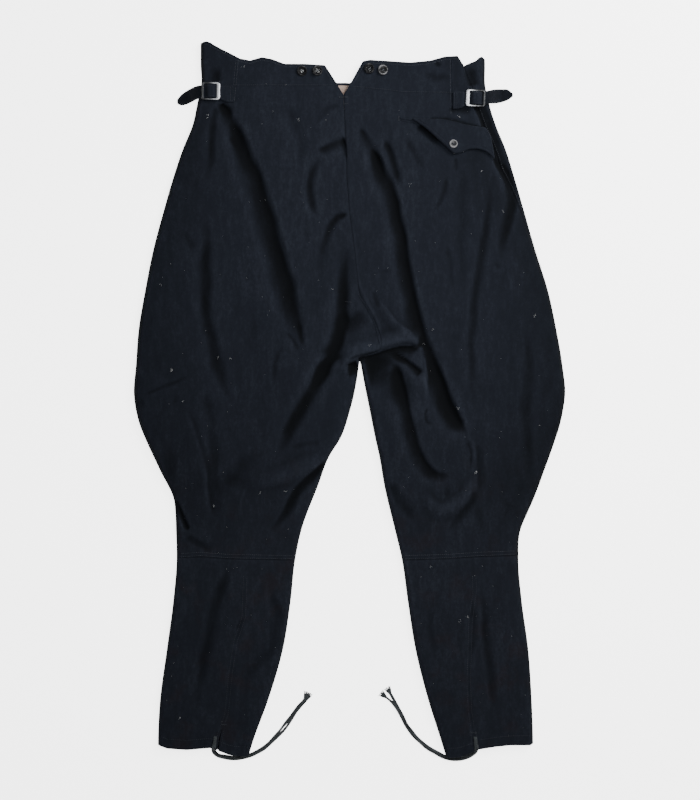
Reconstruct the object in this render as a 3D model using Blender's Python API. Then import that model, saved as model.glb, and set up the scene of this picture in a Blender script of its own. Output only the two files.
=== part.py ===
"""Wool riding breeches laid flat, back side up: one closed solid for each sewn piece.

Frame: X runs across the garment, Y from hem to waist, Z up. The cloth rests on z = 0.
Tables and sizes are in millimetres; mesh points are turned into metres as they are made.
Side -1 is the leg at -X (the wearer's left), side +1 the leg at +X.
"""
import bpy
import bmesh
import numpy as np
from math import pi

MM = 0.001
SIDES = ((-1, "left"), (1, "right"))

# ---- Driving dimensions, millimetres ----
CLOTH = 1.8                 # wall of the heavy wool cloth
SEAM_GAP = 0.3              # parting between two sewn pieces
LAY_GAP = 0.6               # air between a panel and what lies on it
EDGE_RADIUS = 7.0           # plan radius of the rounded side edges
EDGE_SHARE = 0.42           # height of an edge seam, as a share of the garment's height there
CROTCH = 62.0               # height where the two legs part
KNEE = -240.0               # height of the knee seam
HEM_MIDDLE = -525.0         # height of the hem about its middle
WAIST_TOP = 475.0           # height of the front's waist edge at its middle
CROTCH_BLEND = 26.0         # length over which an inner leg edge becomes round
SIDE_SEAM_ROLL = 2.5        # how far the side seams roll on to the back
CROWN_REACH = 90.0          # distance from an edge at which the puff is full
BAND_MIDDLE = 510.0         # height at which a waistband's upper edge meets the side seam
BAND_FOOT = 460.0           # height at which its lower seam does
FOLD_FADE = 9.0             # distance from an edge over which the folds die out
LOWEST_TOP = 2 * CLOTH + 0.8  # the back never sinks into the front below this
SOFTNESS = 0.8              # rounding of that lower bound

# ---- Outline: height, outer edge of leg -1, outer edge of leg +1 ----
OUTLINE = (
    (534, -223, 202), (501, -223, 203), (474, -222, 203), (444, -228, 209),
    (412, -235, 219), (375, -250, 234), (330, -265, 248), (285, -278, 261),
    (225, -294, 278), (165, -306, 297), (105, -316, 310), (52, -320, 319),
    (8, -323, 323), (-15, -320, 320), (-38, -314, 315), (-60, -305, 308),
    (-105, -284, 292), (-150, -263, 275), (-168, -261, 267), (-195, -260, 256),
    (-237, -259, 253), (-300, -264, 258), (-375, -274, 268), (-450, -284, 273),
    (-510, -287, 275), (-536, -287, 275),
)
# Inner leg edges: height, leg -1, leg +1
LEG_GAP = (
    (62, 15, 15), (52, 14, 17), (30, 11, 21), (-15, 1, 30), (-60, -15, 39),
    (-82, -29, 44), (-128, -47, 52), (-195, -72, 68), (-237, -81, 78),
    (-300, -88, 87), (-375, -100, 99), (-450, -122, 118), (-510, -144, 137),
    (-536, -152, 145),
)
# Seat seam on the back: height, x. It drifts to +X and runs back along the crotch lobe.
SEAT_SEAM = (
    (456, -9), (412, -7), (330, -4), (278, 0), (225, 7), (168, 13), (150, 17),
    (135, 28), (116, 38), (96, 46), (81, 47), (73, 43), (67, 26), (62, 15),
)
# How far the side seam of side +1 lies in from the outline: height, distance
SIDE_SEAM_IN = (
    (534, 34), (501, 33), (465, 19), (435, 19), (380, 17), (345, 17), (320, 11),
    (280, 6), (230, 2.5),
)
# Garment thickness, floor to the top of the back: height, top, puff between the edges
THICKNESS = (
    (536, 9.6, 1.2), (450, 9.8, 1.8), (330, 9.6, 3.4), (120, 9.8, 3.8), (-60, 9.6, 3.4),
    (-237, 9.0, 2.2), (-380, 9.0, 2.2), (-500, 8.6, 1.6), (-536, 8.4, 1.4),
)
# Waist edge of the back, from -X to +X, with the notch at the seat seam: x, height
WAIST_EDGE = (
    (-224, 530), (-220, 535), (-214, 536), (-208, 534), (-202, 530), (-191, 524),
    (-179, 518), (-164, 510), (-149, 507), (-131, 512), (-116, 509), (-97, 502),
    (-67, 502), (-37, 500), (-22, 477), (-9, 456), (4, 477), (15, 497), (20, 506),
    (31, 508), (61, 506), (91, 504), (121, 507), (143, 513), (162, 514), (169, 502),
    (181, 504), (188, 506), (194, 512), (199, 513), (202, 510),
)
# Seam under the back waistband, falling into the notch: x, height
WAIST_SEAM = (
    (-224, 466), (-172, 469), (-17, 469), (-9, 456), (-2, 467), (20, 466), (80, 459),
    (150, 458), (203, 456),
)
# Waist edge of the front on the underside: x, height
FRONT_EDGE = (
    (-223, 534), (-187, 510), (-134, 489), (-74, 478), (0, 475), (76, 478), (136, 489),
    (172, 500), (181, 504), (188, 506), (194, 512), (199, 513), (202, 510),
)
NOTCH_SIDES = {-1: ((469, -17), (477, -22), (500, -37)),
               1: ((467, -2), (477, 4), (497, 15), (506, 20))}
KNEE_SEAM = {-1: ((-259, -237), (-223, -235), (-181, -238), (-82, -240)),
             1: ((79, -240), (149, -238), (190, -235), (253, -233))}
HEM = {-1: ((-287, -516), (-273, -521), (-244, -523), (-209, -520), (-197, -524),
            (-181, -530), (-170, -532), (-152, -533)),
       1: ((146, -535), (164, -534), (181, -528), (194, -522), (220, -518),
           (240, -516), (271, -516), (275, -514))}
# Centre-back calf seams and vents: height, outer half's edge, inner half's edge
CALF_SEAM = {-1: ((-240, -155, -155), (-324, -158, -158), (-360, -170, -170),
                  (-409, -178, -178), (-470, -184, -184), (-486, -190, -190),
                  (-504, -196, -193), (-524, -202, -195)),
             1: ((-235, 185, 185), (-285, 187, 187), (-330, 181, 181), (-420, 178, 178),
                 (-465, 180, 180), (-498, 185, 185), (-510, 190, 185), (-522, 193, 185))}
CALF_FRONT = {-1: ((-240, -172), (-536, -218)), 1: ((-236, 168), (-536, 208))}

# ---- Folds of the back: route from top to bottom, reach to -X and to +X of it,
#      depth (a trough is positive, a ridge negative), fade at the start and at the end ----
FOLDS = (
    ("strap sweep", ((-188, 444), (-160, 400), (-140, 338), (-125, 285), (-106, 225),
                     (-91, 165), (-86, 105)), 38, 12, 6.5, 12, 60),
    ("side fall", ((-218, 285), (-212, 240), (-217, 172), (-208, 98), (-190, 30),
                   (-176, -12)), 16, 15, 3.6, 40, 30),
    ("seat hollow", ((-10, 252), (-8, 165), (-7, 123), (-19, 78), (-41, 39), (-74, -12),
                     (-100, -66)), 14, 30, 5.2, 40, 30),
    ("seat curl", ((-49, 378), (-61, 326), (-55, 292), (-44, 270)), 14, 9, 4.2, 20, 20),
    ("seat bar", ((-54, 373), (-29, 384), (-5, 388)), 10, 8, 3.8, 12, 8),
    ("seat arc", ((1, 278), (-17, 273), (-34, 255), (-41, 218), (-41, 165)),
     12, 14, 3.4, 8, 50),
    ("knee ridge", ((-31, -84), (-74, -105), (-119, -123), (-155, -134)),
     24, 14, -4.5, 10, 20),
    ("knee wedge", ((-34, -100), (-65, -126), (-86, -151), (-104, -181), (-125, -206)),
     9, 18, 5.6, 10, 22),
    ("knee dip", ((-128, -70), (-164, -108), (-185, -128), (-182, -162)),
     26, 26, 3.0, 20, 20),
    ("knee tuck", ((-258, -156), (-250, -180), (-239, -204), (-202, -224)),
     9, 14, 4.4, 8, 14),
    ("calf sweep -1", ((-176, -250), (-194, -288), (-209, -348), (-221, -402),
                       (-229, -453)), 15, 12, 3.6, 10, 30),
    ("calf edge -1", ((-122, -273), (-110, -318), (-118, -372), (-149, -411),
                      (-163, -453)), 14, 14, 2.4, 20, 30),
    ("flap sweep", ((17, 412), (44, 363), (70, 292), (83, 225), (95, 165), (116, 99),
                    (143, 27), (170, -42)), 34, 11, 7.0, 14, 14),
    ("crotch lobe", ((108, 88), (73, 86), (46, 78), (20, 70), (-5, 60)),
     30, 7, -5.0, 12, 8),
    ("lobe side", ((106, 84), (112, 45), (118, 3)), 20, 14, -3.0, 8, 24),
    ("lobe inner", ((70, 68), (88, 57), (107, 40)), 8, 8, 3.2, 8, 6),
    ("knee bowl", ((74, 33), (82, -3), (91, -54), (112, -93), (136, -110), (160, -98),
                   (176, -72)), 20, 12, 5.6, 20, 20),
    ("bowl rim", ((106, -138), (136, -165), (169, -147), (190, -112)), 16, 14, -3.6, 16, 14),
    ("bowl under", ((192, -126), (178, -154), (146, -200)), 9, 12, 3.6, 14, 16),
    ("inner knee", ((56, -120), (70, -144), (103, -186)), 12, 16, 3.6, 12, 16),
    ("long fall", ((209, 330), (203, 255), (188, 158), (181, 60), (185, -30)),
     14, 16, 2.6, 50, 50),
    ("side curl", ((221, 352), (238, 312), (238, 278), (229, 207)), 12, 10, 2.6, 20, 30),
    ("calf fall", ((181, -300), (184, -352), (181, -402)), 8, 8, 2.6, 14, 14),
    ("calf sweep +1", ((199, -300), (206, -368), (212, -435), (212, -489)),
     9, 12, 3.0, 30, 24),
    ("strap pinch -1", ((-198, 504), (-199, 488), (-199, 474)), 10, 8, 2.2, 14, 4),
    ("strap pinch +1", ((177, 500), (181, 484), (184, 468)), 8, 10, 2.2, 8, 4),
)
ROUTE_SAMPLES = 48          # points read from each fold's route

# ---- Grids: rows run from waist to hem, columns across ----
BACK_ROWS = 31
BACK_COLUMNS = (0, 0.012, 0.035, 0.075, 0.13, 0.19, 0.25, 0.31, 0.37, 0.43, 0.49, 0.55,
                0.61, 0.67, 0.73, 0.79, 0.85, 0.91, 0.955, 0.985, 1)
BAND_ROWS = 5
BAND_COLUMNS = (0, 0.015, 0.05, 0.1, 0.16, 0.24, 0.32, 0.42, 0.52, 0.62, 0.72, 0.82, 0.91, 1)
FRONT_UNDER = (1, 0.985, 0.955, 0.55, 0.08, 0.022, 0.006)
FRONT_OVER = (0.12, 0.4, 1)
CALF_ROWS = 10
CALF_UNDER = (1, 0.5, 0.1, 0.035, 0.01)
CALF_OVER = (0.01, 0.035, 0.09, 0.2, 0.32, 0.44, 0.56, 0.68, 0.8, 0.9, 1)

# ---- Trimmings ----
FLY_WIDTH = 34.0
FLY_FOOT = 90.0             # height where the fly's curved end meets the centre front
FLY_CURVE = 120.0           # length of that curve
LINING_WALL = 1.0
LINING = {"half_width": 150.0, "edge_drop": 3.0, "depth": 36.0, "columns": 13}
STRAP_WALL = 1.6
BUCKLE_THICK = 2.0
BUCKLE_CORNER = 3.0
WINDOW_CORNER = 1.0
CENTRE_BAR = {"wide": 2.6, "thick": 1.6, "raised": 0.1}
# side: centre x, centre y, width, height, width of the two side bars, of the end bars, turn
BUCKLE = {-1: {"x": -207.0, "y": 461.0, "wide": 28.0, "tall": 26.5, "side_bar": 4.6,
               "end_bar": 3.0, "turn": -1.0},
          1: {"x": 188.0, "y": 450.5, "wide": 29.0, "tall": 25.5, "side_bar": 4.6,
              "end_bar": 3.0, "turn": -3.0}}
# Cinch straps: distance out from the sewn end, centre height, half width.
# The rise over the buckle's centre bar and the fall beside the garment are worked out.
STRAP = {-1: ((0, 457.5, 13.2), (12, 458, 12.6), (20, 459.5, 10.4), (27, 461, 8.9),
              (48, 460.5, 8.9), (54, 459.5, 9.4), (64, 456.5, 9.8), (74, 452.8, 8.8),
              (81, 449.6, 6.2), (85, 447.8, 2.4)),
         1: ((0, 447.8, 13.2), (12, 448.6, 12.6), (18, 449.6, 10.4), (24, 450.3, 8.9),
             (44, 451.0, 8.9), (50, 451.8, 9.4), (62, 454.0, 9.6), (74, 456.2, 8.8),
             (84, 457.6, 6.4), (89, 457.4, 2.4))}
STRAP_START = {-1: -172.0, 1: 154.5}
STRAP_ACROSS = (-1, -0.6, 0, 0.6, 1)
STRAP_STEP = 2.9            # spacing of the strap's sections
STRAP_CLEARS = {"in": 10.0, "out": 30.0, "up": 10.0, "air": 0.4}  # cloth under its flat run
STRAP_CLIMB = (2.0, 14.0)   # distances out between which it climbs on to the tab
ARCH_TOP = 2.2              # half of the flat over the centre bar
ARCH_SLOPE = 7.0            # length of each slope of that arch
FALL_STARTS = 1.5           # distance past the buckle at which the tail starts down
FALL_LENGTH = 26.0
TAIL_OFF_FLOOR = 0.2
STEEPEST_WALL = 1.25        # most that a slope adds to the strap's upright wall
# Tab that holds the buckle: distance in from the centre bar, rise over its seat
TAB = ((-1.6, 1.85), (2.2, 1.85), (5.0, 1.2), (8.5, 0), (13.5, 0))
TAB_WALL = 1.0
TAB_HALF_WIDTH = 8.0
BRACE_BUTTONS = (("brace_button_1", -71, 491.5), ("brace_button_2", -48, 491.8),
                 ("brace_button_3", 29.5, 495), ("brace_button_4", 50, 493))
BRACE_BUTTON_RADIUS = 8.4
FLAP_BUTTON = (155.0, 382.0)
FLAP_BUTTON_RADIUS = 6.4
# Button profile: share of the radius, share of the thickness
BUTTON_PROFILE = ((0, 0), (0.7, 0), (1, 0.35), (1, 0.7), (0.9, 1), (0.74, 0.84), (0.6, 0.62),
                  (0, 0.56))
BUTTON_THICK = 3.0
BUTTON_REST = 0.7           # share of the radius that bears on the cloth
BUTTON_SIDES = 16
# Pocket flap corners and edges, from the mouth end round the point
FLAP_TOP = ((94, 420), (118, 419), (137, 419), (153, 416), (172, 411), (203, 406))
FLAP_LOW = ((156, 368), (165, 370), (179, 375), (195, 375), (208, 369), (216, 361))
FLAP_LEAD = ((94, 420), (113, 407), (134, 388), (156, 368))
FLAP_TAIL = ((203, 406), (208, 398), (213, 380), (216, 361))
FLAP_COLUMNS = 11
FLAP_ROWS = 7
FLAP_LIFT = 2.0             # how far the free leading edge stands off the panel
FLAP_HINGE = 0.45           # share of the flap's width over which the lift dies out
FLAP_HELD = 0.1             # share of its length held down at the button
# Hem tapes: two strands a leg, leaving the vent, lying beside each other on the floor
TAPE_RADIUS = 1.6
TAPE_SPACING = 3.6
TAPE_POINTS = 38
TAPE_ON_FRONT = CLOTH + SEAM_GAP + TAPE_RADIUS
TAPE_ON_FLOOR = TAPE_RADIUS + 0.1
# Middle line of each pair: x, y, 0 on the front layer to 1 on the floor, spread
TAPES = {
    -1: ((-199.5, -494, 0, 1), (-200.5, -504, 0, 1), (-202.5, -514, 0, 1),
         (-204, -522, 0, 1), (-202.5, -529, 0.3, 1), (-197.5, -534.5, 1, 1),
         (-186, -538.6, 1, 1), (-170, -540, 1, 1), (-152, -537.5, 1, 1),
         (-133, -527.5, 1, 1), (-113, -508, 1, 1.1), (-98, -491, 1, 1.45),
         (-86, -474, 1, 1.1), (-75, -458, 1, 1), (-65, -443, 1, 1)),
    1: ((188, -494, 0, 1), (189, -504, 0, 1), (191.3, -514, 0, 1), (192.3, -522, 0, 1),
        (191.3, -529, 0.3, 1), (187, -535, 1, 1), (172, -540, 1, 1), (153, -541, 1, 1),
        (134, -534.5, 1, 1.1), (119, -525, 1, 1), (103, -511, 1, 1), (89, -492, 1, 1),
        (77, -470, 1, 1), (68, -453, 1, 1.1), (58, -436, 1, 2.6)),
}

COLOURS = {
    "wool": ((0.016, 0.019, 0.027), 0.9, 0.0),
    "lining": ((0.66, 0.55, 0.48), 0.8, 0.0),
    "metal": ((0.72, 0.72, 0.72), 0.3, 1.0),
    "horn": ((0.02, 0.02, 0.022), 0.35, 0.0),
    "tape": ((0.03, 0.035, 0.037), 0.85, 0.0),
}


# ---- Curves and sections ----
def smooth_through(table, column, at):
    """Cubic through one column of a table, its first column being the station."""
    rows = sorted(table)
    station = np.array([row[0] for row in rows], float)
    value = np.array([row[column] for row in rows], float)
    slope = np.gradient(value, station)
    at = np.clip(at, station[0], station[-1])
    low = np.clip(np.searchsorted(station, at) - 1, 0, len(station) - 2)
    span = station[low + 1] - station[low]
    t = (at - station[low]) / span
    return ((1 + 2 * t) * (1 - t) ** 2 * value[low] + t * (1 - t) ** 2 * span * slope[low]
            + t * t * (3 - 2 * t) * value[low + 1] + t * t * (t - 1) * span * slope[low + 1])


def straight_through(table, at):
    """Straight runs through (station, value) pairs."""
    rows = sorted(table)
    return np.interp(at, [row[0] for row in rows], [row[1] for row in rows])


def route_points(route, count):
    """Points along a smooth curve through a hand-chosen route of any dimension."""
    points = np.array(route, float)
    steps = np.linalg.norm(np.diff(points, axis=0), axis=1)
    station = np.concatenate(([0], np.cumsum(steps)))
    at = np.linspace(0, station[-1], count)
    columns = []
    for axis in range(points.shape[1]):
        pairs = tuple(zip(station, points[:, axis]))
        columns.append(smooth_through(pairs, 1, at))
    return np.stack(columns, axis=1)


def ease(t):
    t = np.clip(t, 0, 1)
    return t * t * (3 - 2 * t)


def outer_x(side, y):
    return smooth_through(OUTLINE, 1 if side < 0 else 2, y)


def inner_x(side, y):
    """Seat seam above the crotch, inner leg edge below it."""
    leg = smooth_through(LEG_GAP, 1 if side < 0 else 2, y)
    seat = straight_through(SEAT_SEAM, y)
    return np.where(y > CROTCH, seat, leg)


def side_seam_in(side, y):
    if side < 0:
        return np.full(np.shape(y), SIDE_SEAM_ROLL)
    return straight_through(SIDE_SEAM_IN, y)


def split_share(y):
    """0 where the legs are one, 1 where each has a round inner edge."""
    return ease((CROTCH - y) / CROTCH_BLEND)


def round_share(distance):
    """Rise of a quarter round, 0 at the edge and 1 at EDGE_RADIUS from it."""
    return np.sqrt(1 - (1 - np.clip(distance / EDGE_RADIUS, 0, 1)) ** 2)


# ---- Height of the back ----
def fold_depth(x, y):
    """Sum of all folds: each is a smooth hump across its route, faded at both ends."""
    total = np.zeros(np.shape(x))
    for _, route, reach_minus, reach_plus, depth, fade_in, fade_out in FOLDS:
        spine = route_points(route, ROUTE_SAMPLES)
        heading = np.gradient(spine, axis=0)
        heading /= np.linalg.norm(heading, axis=1)[:, None]
        step = np.linalg.norm(spine[1] - spine[0])
        away_x = x[..., None] - spine[:, 0]
        away_y = y[..., None] - spine[:, 1]
        near = np.argmin(away_x ** 2 + away_y ** 2, axis=-1)
        dx = x - spine[near, 0]
        dy = y - spine[near, 1]
        across = dy * heading[near, 0] - dx * heading[near, 1]
        along = near * step + dx * heading[near, 0] + dy * heading[near, 1]
        length = (ROUTE_SAMPLES - 1) * step
        reach = np.where(across > 0, reach_plus, reach_minus)
        hump = (1 - np.clip(np.abs(across) / reach, 0, 1) ** 2) ** 2
        total += depth * hump * ease(along / fade_in) * ease((length - along) / fade_out)
    return total


def garment_top(y):
    return smooth_through(THICKNESS, 1, y)


def edge_height(y):
    return EDGE_SHARE * garment_top(y)


def edge_distances(side, x, y):
    outer = side * (outer_x(side, y) - x)
    inner = side * (x - inner_x(side, y))
    return outer, inner


def top_z(side, x, y):
    """Height of the back's outer surface over the floor."""
    outer, inner = edge_distances(side, x, y)
    split = split_share(y)
    rise = np.minimum(round_share(outer), 1 - split + split * round_share(inner))
    near = np.clip(np.minimum(outer, inner + (1 - split) * CROWN_REACH), 0, CROWN_REACH)
    crown = smooth_through(THICKNESS, 2, y) * (1 - (1 - near / CROWN_REACH) ** 2)
    edge = edge_height(y)
    height = edge + (garment_top(y) - edge) * rise + crown
    height = height - fold_depth(x, y) * ease(near / FOLD_FADE)
    lowest = edge + (LOWEST_TOP - edge) * rise
    return lowest + SOFTNESS * np.logaddexp(0, (height - lowest) / SOFTNESS)


def under_z(side, x, y):
    """Height of the front's outer surface: flat on the floor, turned up at round edges."""
    outer, inner = edge_distances(side, x, y)
    split = split_share(y)
    drop = np.minimum(round_share(outer), 1 - split + split * round_share(inner))
    return edge_height(y) * (1 - drop)


# ---- Solids ----
def material(name):
    found = bpy.data.materials.get(name)
    if found:
        return found
    colour, roughness, metallic = COLOURS[name]
    made = bpy.data.materials.new(name)
    made.use_nodes = True
    shader = made.node_tree.nodes["Principled BSDF"]
    shader.inputs["Base Color"].default_value = (*colour, 1)
    shader.inputs["Roughness"].default_value = roughness
    shader.inputs["Metallic"].default_value = metallic
    made.diffuse_color = (*colour, 1)
    return made


def add_object(name, mesh, finish):
    mesh.materials.append(material(finish))
    piece = bpy.data.objects.new(name, mesh)
    bpy.context.scene.collection.objects.link(piece)
    return piece


def closed_mesh(name, outer, inner, finish="wool"):
    """Join an outer and an inner grid of points (rows, columns, 3) along their rims."""
    rows, columns = outer.shape[:2]
    shape = bmesh.new()
    skins = []
    for grid in (outer, inner):
        skins.append([[shape.verts.new(point * MM) for point in row] for row in grid])
    near, far = skins
    for i in range(rows - 1):
        for j in range(columns - 1):
            for skin in skins:
                shape.faces.new((skin[i][j], skin[i][j + 1], skin[i + 1][j + 1], skin[i + 1][j]))
    rim = [(0, j) for j in range(columns)] + [(i, columns - 1) for i in range(1, rows)]
    rim += [(rows - 1, j) for j in range(columns - 2, -1, -1)]
    rim += [(i, 0) for i in range(rows - 2, 0, -1)]
    for (a, b), (c, d) in zip(rim, rim[1:] + rim[:1]):
        shape.faces.new((near[a][b], near[c][d], far[c][d], far[a][b]))
    bmesh.ops.recalc_face_normals(shape, faces=shape.faces)
    mesh = bpy.data.meshes.new(name)
    shape.to_mesh(mesh)
    shape.free()
    return add_object(name, mesh, finish)


def grid_normals(points):
    across = np.gradient(points, axis=1)
    down = np.gradient(points, axis=0)
    normal = np.cross(across, down)
    return normal / np.linalg.norm(normal, axis=2)[..., None]


def cloth_solid(name, points, outward, first_end, last_end, wall=CLOTH, finish="wool"):
    """A cloth wall: the points are its outer skin, moved in by the wall for its inner one.

    outward is +1 or -1 and turns the grid's own normals out. first_end and last_end are
    the outward directions of the first and last column, shared with the piece sewn there.
    The first and last rows are cut square to Y.
    """
    normal = grid_normals(points) * outward
    normal[[0, -1], :, 1] = 0
    normal[:, 0] = first_end
    normal[:, -1] = last_end
    normal /= np.linalg.norm(normal, axis=2)[..., None]
    return closed_mesh(name, points, points - normal * wall, finish)


def seam_direction(distance, way, y):
    """Outward direction of the round edge at a distance in from it; way is +1 towards +X."""
    share = np.clip(distance / EDGE_RADIUS, 0, 1)
    lift = np.sqrt(1 - (1 - share) ** 2)
    return np.stack((way * (1 - share), np.zeros(np.shape(y)), lift), axis=-1)


def line_between(line_a, line_b, shares):
    """Rows of heights from one line to another, a row for each share."""
    return line_a[None, :] + (line_b - line_a)[None, :] * shares[:, None]


def top_sheet(name, side, columns, heights, outer_edge, inner_edge, inner_is_leg):
    """A piece of the back between two boundaries given as functions of height."""
    share = np.array(columns)[None, :]
    start = outer_edge(heights) - side * SEAM_GAP / 2
    end = inner_edge(heights)
    if inner_is_leg:
        end = end + side * SEAM_GAP / 2 * (1 - split_share(heights))
    x = start + (end - start) * share
    z = top_z(side, x, heights)
    y_last = heights[:, -1]
    last = np.zeros((len(y_last), 3))
    last[:, 2] = 1
    if inner_is_leg:
        split = split_share(y_last)
        z[:, -1] += SEAM_GAP / 2 * split
        last = np.stack((-side * split, 0 * split, 1 - split), axis=-1)
    first = seam_direction(side_seam_in(side, heights[:, 0]), side, heights[:, 0])
    points = np.stack((x, heights, z), axis=-1)
    return cloth_solid(name, points, side, first, last)


def wrapped_sheet(name, side, edge_is_outer, heights, under_from, over_to, under, over,
                  leg_start=False, over_gap=SEAM_GAP / 2):
    """A piece that starts on the underside, turns round one edge and ends on the back.

    heights holds a height for each row and column; under_from and over_to are the x of
    the piece's two ends as functions of height.
    """
    edge = outer_x if edge_is_outer else inner_x
    way = side if edge_is_outer else -side
    edge_x = edge(side, heights)
    share = np.array(tuple(under) + (0,) + tuple(over))[None, :]
    turn = len(under)
    low_end = under_from(heights)
    high_end = over_to(heights) + way * over_gap
    x = np.where(np.arange(share.shape[1]) <= turn,
                 edge_x + (low_end - edge_x) * share, edge_x + (high_end - edge_x) * share)
    low = under_z(side, x, heights)
    high = top_z(side, x, heights)
    z = np.where(np.arange(share.shape[1]) <= turn, low, high)
    z[:, turn] = edge_height(heights[:, turn])
    y_first = heights[:, 0]
    first = np.zeros((len(y_first), 3))
    first[:, 2] = -1
    if leg_start:
        split = split_share(y_first)
        z[:, 0] -= SEAM_GAP / 2 * split
        first = np.stack((-side * split, 0 * split, split - 1), axis=-1)
    distance = np.abs(edge_x[:, -1] - over_to(heights[:, -1]))
    last = seam_direction(distance, way, y_first)
    points = np.stack((x, heights, z), axis=-1)
    return cloth_solid(name, points, way, first, last)


def shares(count):
    return np.linspace(0, 1, count)


def side_seam_x(side, y):
    return outer_x(side, y) - side * side_seam_in(side, y)


def back_lines(side):
    """Heights of the waist seam and the knee seam along the back panel's columns."""
    share = np.array(BACK_COLUMNS)
    start = side_seam_x(side, BAND_FOOT)
    waist = straight_through(WAIST_SEAM, start + (SEAT_SEAM[0][1] - start) * share)
    low = side_seam_x(side, KNEE)
    knee = straight_through(KNEE_SEAM[side], low + (inner_x(side, KNEE) - low) * share)
    return waist, knee + SEAM_GAP


def band_lines(side):
    """Heights of the waist edge and the waist seam along the waistband's columns."""
    share = np.array(BAND_COLUMNS)
    foot, notch_foot = NOTCH_SIDES[side][0]
    notch_top = NOTCH_SIDES[side][-1][1]
    high = side_seam_x(side, BAND_MIDDLE)
    low = side_seam_x(side, BAND_FOOT)
    edge = straight_through(WAIST_EDGE, high + (notch_top - high) * share)
    seam = straight_through(WAIST_SEAM, low + (notch_foot - low) * share)
    return edge, seam + SEAM_GAP


def backs_and_bands():
    """Seat-and-thigh panels and the two halves of the back waistband."""
    for side, word in SIDES:
        def side_seam(y, side=side):
            return side_seam_x(side, y)

        def seat(y, side=side):
            return inner_x(side, y)

        def notch(y, side=side):
            return straight_through(NOTCH_SIDES[side], y)

        rows = line_between(*back_lines(side), shares(BACK_ROWS))
        top_sheet("back_" + word, side, BACK_COLUMNS, rows, side_seam, seat, True)
        rows = line_between(*band_lines(side), shares(BAND_ROWS))
        top_sheet("back_waistband_" + word, side, BAND_COLUMNS, rows, side_seam, notch, False)


def front_rows(side):
    """Heights of the front's rows at its side seam and at its inner edge.

    They are the rows of the back waistband and of the back panel, so that both sides of
    each seam turn at the same heights.
    """
    waist, knee = back_lines(side)
    edge, seam = band_lines(side)
    band = shares(BAND_ROWS)
    down = shares(BACK_ROWS)[1:]
    centre_top = straight_through(FRONT_EDGE, 0.0)
    outer = np.concatenate((edge[0] + (waist[0] - edge[0]) * band,
                            waist[0] + (knee[0] - waist[0]) * down))
    inner = np.concatenate((centre_top + (waist[-1] - centre_top) * band,
                            waist[-1] + (knee[-1] - waist[-1]) * down))
    return outer, inner


def fly_width(y):
    return FLY_WIDTH * ease((y - FLY_FOOT) / FLY_CURVE)


def centre_front_x(y):
    return np.interp(y, (CROTCH, WAIST_TOP), (LEG_GAP[0][1], 0))


def fronts_and_fly():
    """Front panels from waist to knee, flat below and turned round the outer edges."""
    share = np.array(FRONT_UNDER + (0,) + tuple(0 * s for s in FRONT_OVER))
    for side, word in SIDES:
        def centre(y, side=side):
            """Centre-front edge, beside the fly on side -1, and the inner leg below."""
            straight = centre_front_x(y) + side * SEAM_GAP / 2 - fly_width(y) * (side < 0)
            return np.where(y > CROTCH, straight, inner_x(side, y))

        def side_seam(y, side=side):
            return side_seam_x(side, y)

        outer, inner = front_rows(side)
        rows = outer[:, None] + (inner - outer)[:, None] * share[None, :]
        fade = np.concatenate((1 - shares(BAND_ROWS), np.zeros(BACK_ROWS - 1)))[:, None]
        high_x = outer_x(side, rows[0]) * (1 - share)
        rows = rows + (straight_through(FRONT_EDGE, high_x) - rows[0]) * fade
        rows[:, -len(FRONT_OVER):] = outer[:, None]
        wrapped_sheet("front_" + word, side, True, rows, centre, side_seam,
                      FRONT_UNDER, FRONT_OVER, leg_start=True)
    y = front_rows(-1)[1]
    y = y[y > FLY_FOOT + FLY_CURVE / 6][:, None]
    ends = np.array((1.0, 0.0))
    side_gap = np.array((1.0, -1.0)) * SEAM_GAP / 2
    x = centre_front_x(y) - fly_width(y) * ends + side_gap - SEAM_GAP / 2 * (1 - ends)
    flat = np.stack((x, y + 0 * x, 0 * x), axis=-1)
    closed_mesh("fly", flat, flat + np.array((0, 0, CLOTH)))


def calves():
    """Four calf pieces, each from the shin seam round one edge to the calf seam."""
    below = len(CALF_UNDER) + 1
    share = np.array(CALF_UNDER + (0,) + CALF_OVER)
    for side, word in SIDES:
        for half, column in (("outer", 1), ("inner", 2)):
            outer_half = half == "outer"
            edge = outer_x if outer_half else inner_x
            way = side if outer_half else -side

            def shin(y, side=side, way=way):
                return straight_through(CALF_FRONT[side], y) + way * SEAM_GAP / 2

            def calf(y, side=side, column=column):
                rows = tuple((row[0], row[column]) for row in CALF_SEAM[side])
                return straight_through(rows, y)

            def column_x(y):
                turn = edge(side, y)
                ends = np.where(np.arange(len(share)) < below, shin(y), calf(y))
                return turn + (ends - turn) * share

            knee = straight_through(KNEE_SEAM[side], column_x(KNEE))
            ends = (KNEE_SEAM[side][0], KNEE_SEAM[side][-1])
            knee[:below] = straight_through(ends, column_x(KNEE)[:below])
            hem = straight_through(HEM[side], column_x(HEM_MIDDLE))
            rows = line_between(knee, hem, shares(CALF_ROWS))
            wrapped_sheet("calf_%s_%s" % (word, half), side, outer_half, rows, shin, calf,
                          CALF_UNDER, CALF_OVER)


def waistband_lining():
    """Pale lining strip inside the front waist, seen through the notch of the back."""
    half = LINING["half_width"]
    x = np.linspace(-half, half, LINING["columns"])[None, :] * np.ones((2, 1))
    top = straight_through(FRONT_EDGE, x) - LINING["edge_drop"]
    y = top - np.array((0, LINING["depth"]))[:, None]
    low = np.stack((x, y, 0 * x + CLOTH + SEAM_GAP), axis=-1)
    closed_mesh("waistband_lining", low, low + np.array((0, 0, LINING_WALL)), "lining")


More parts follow.
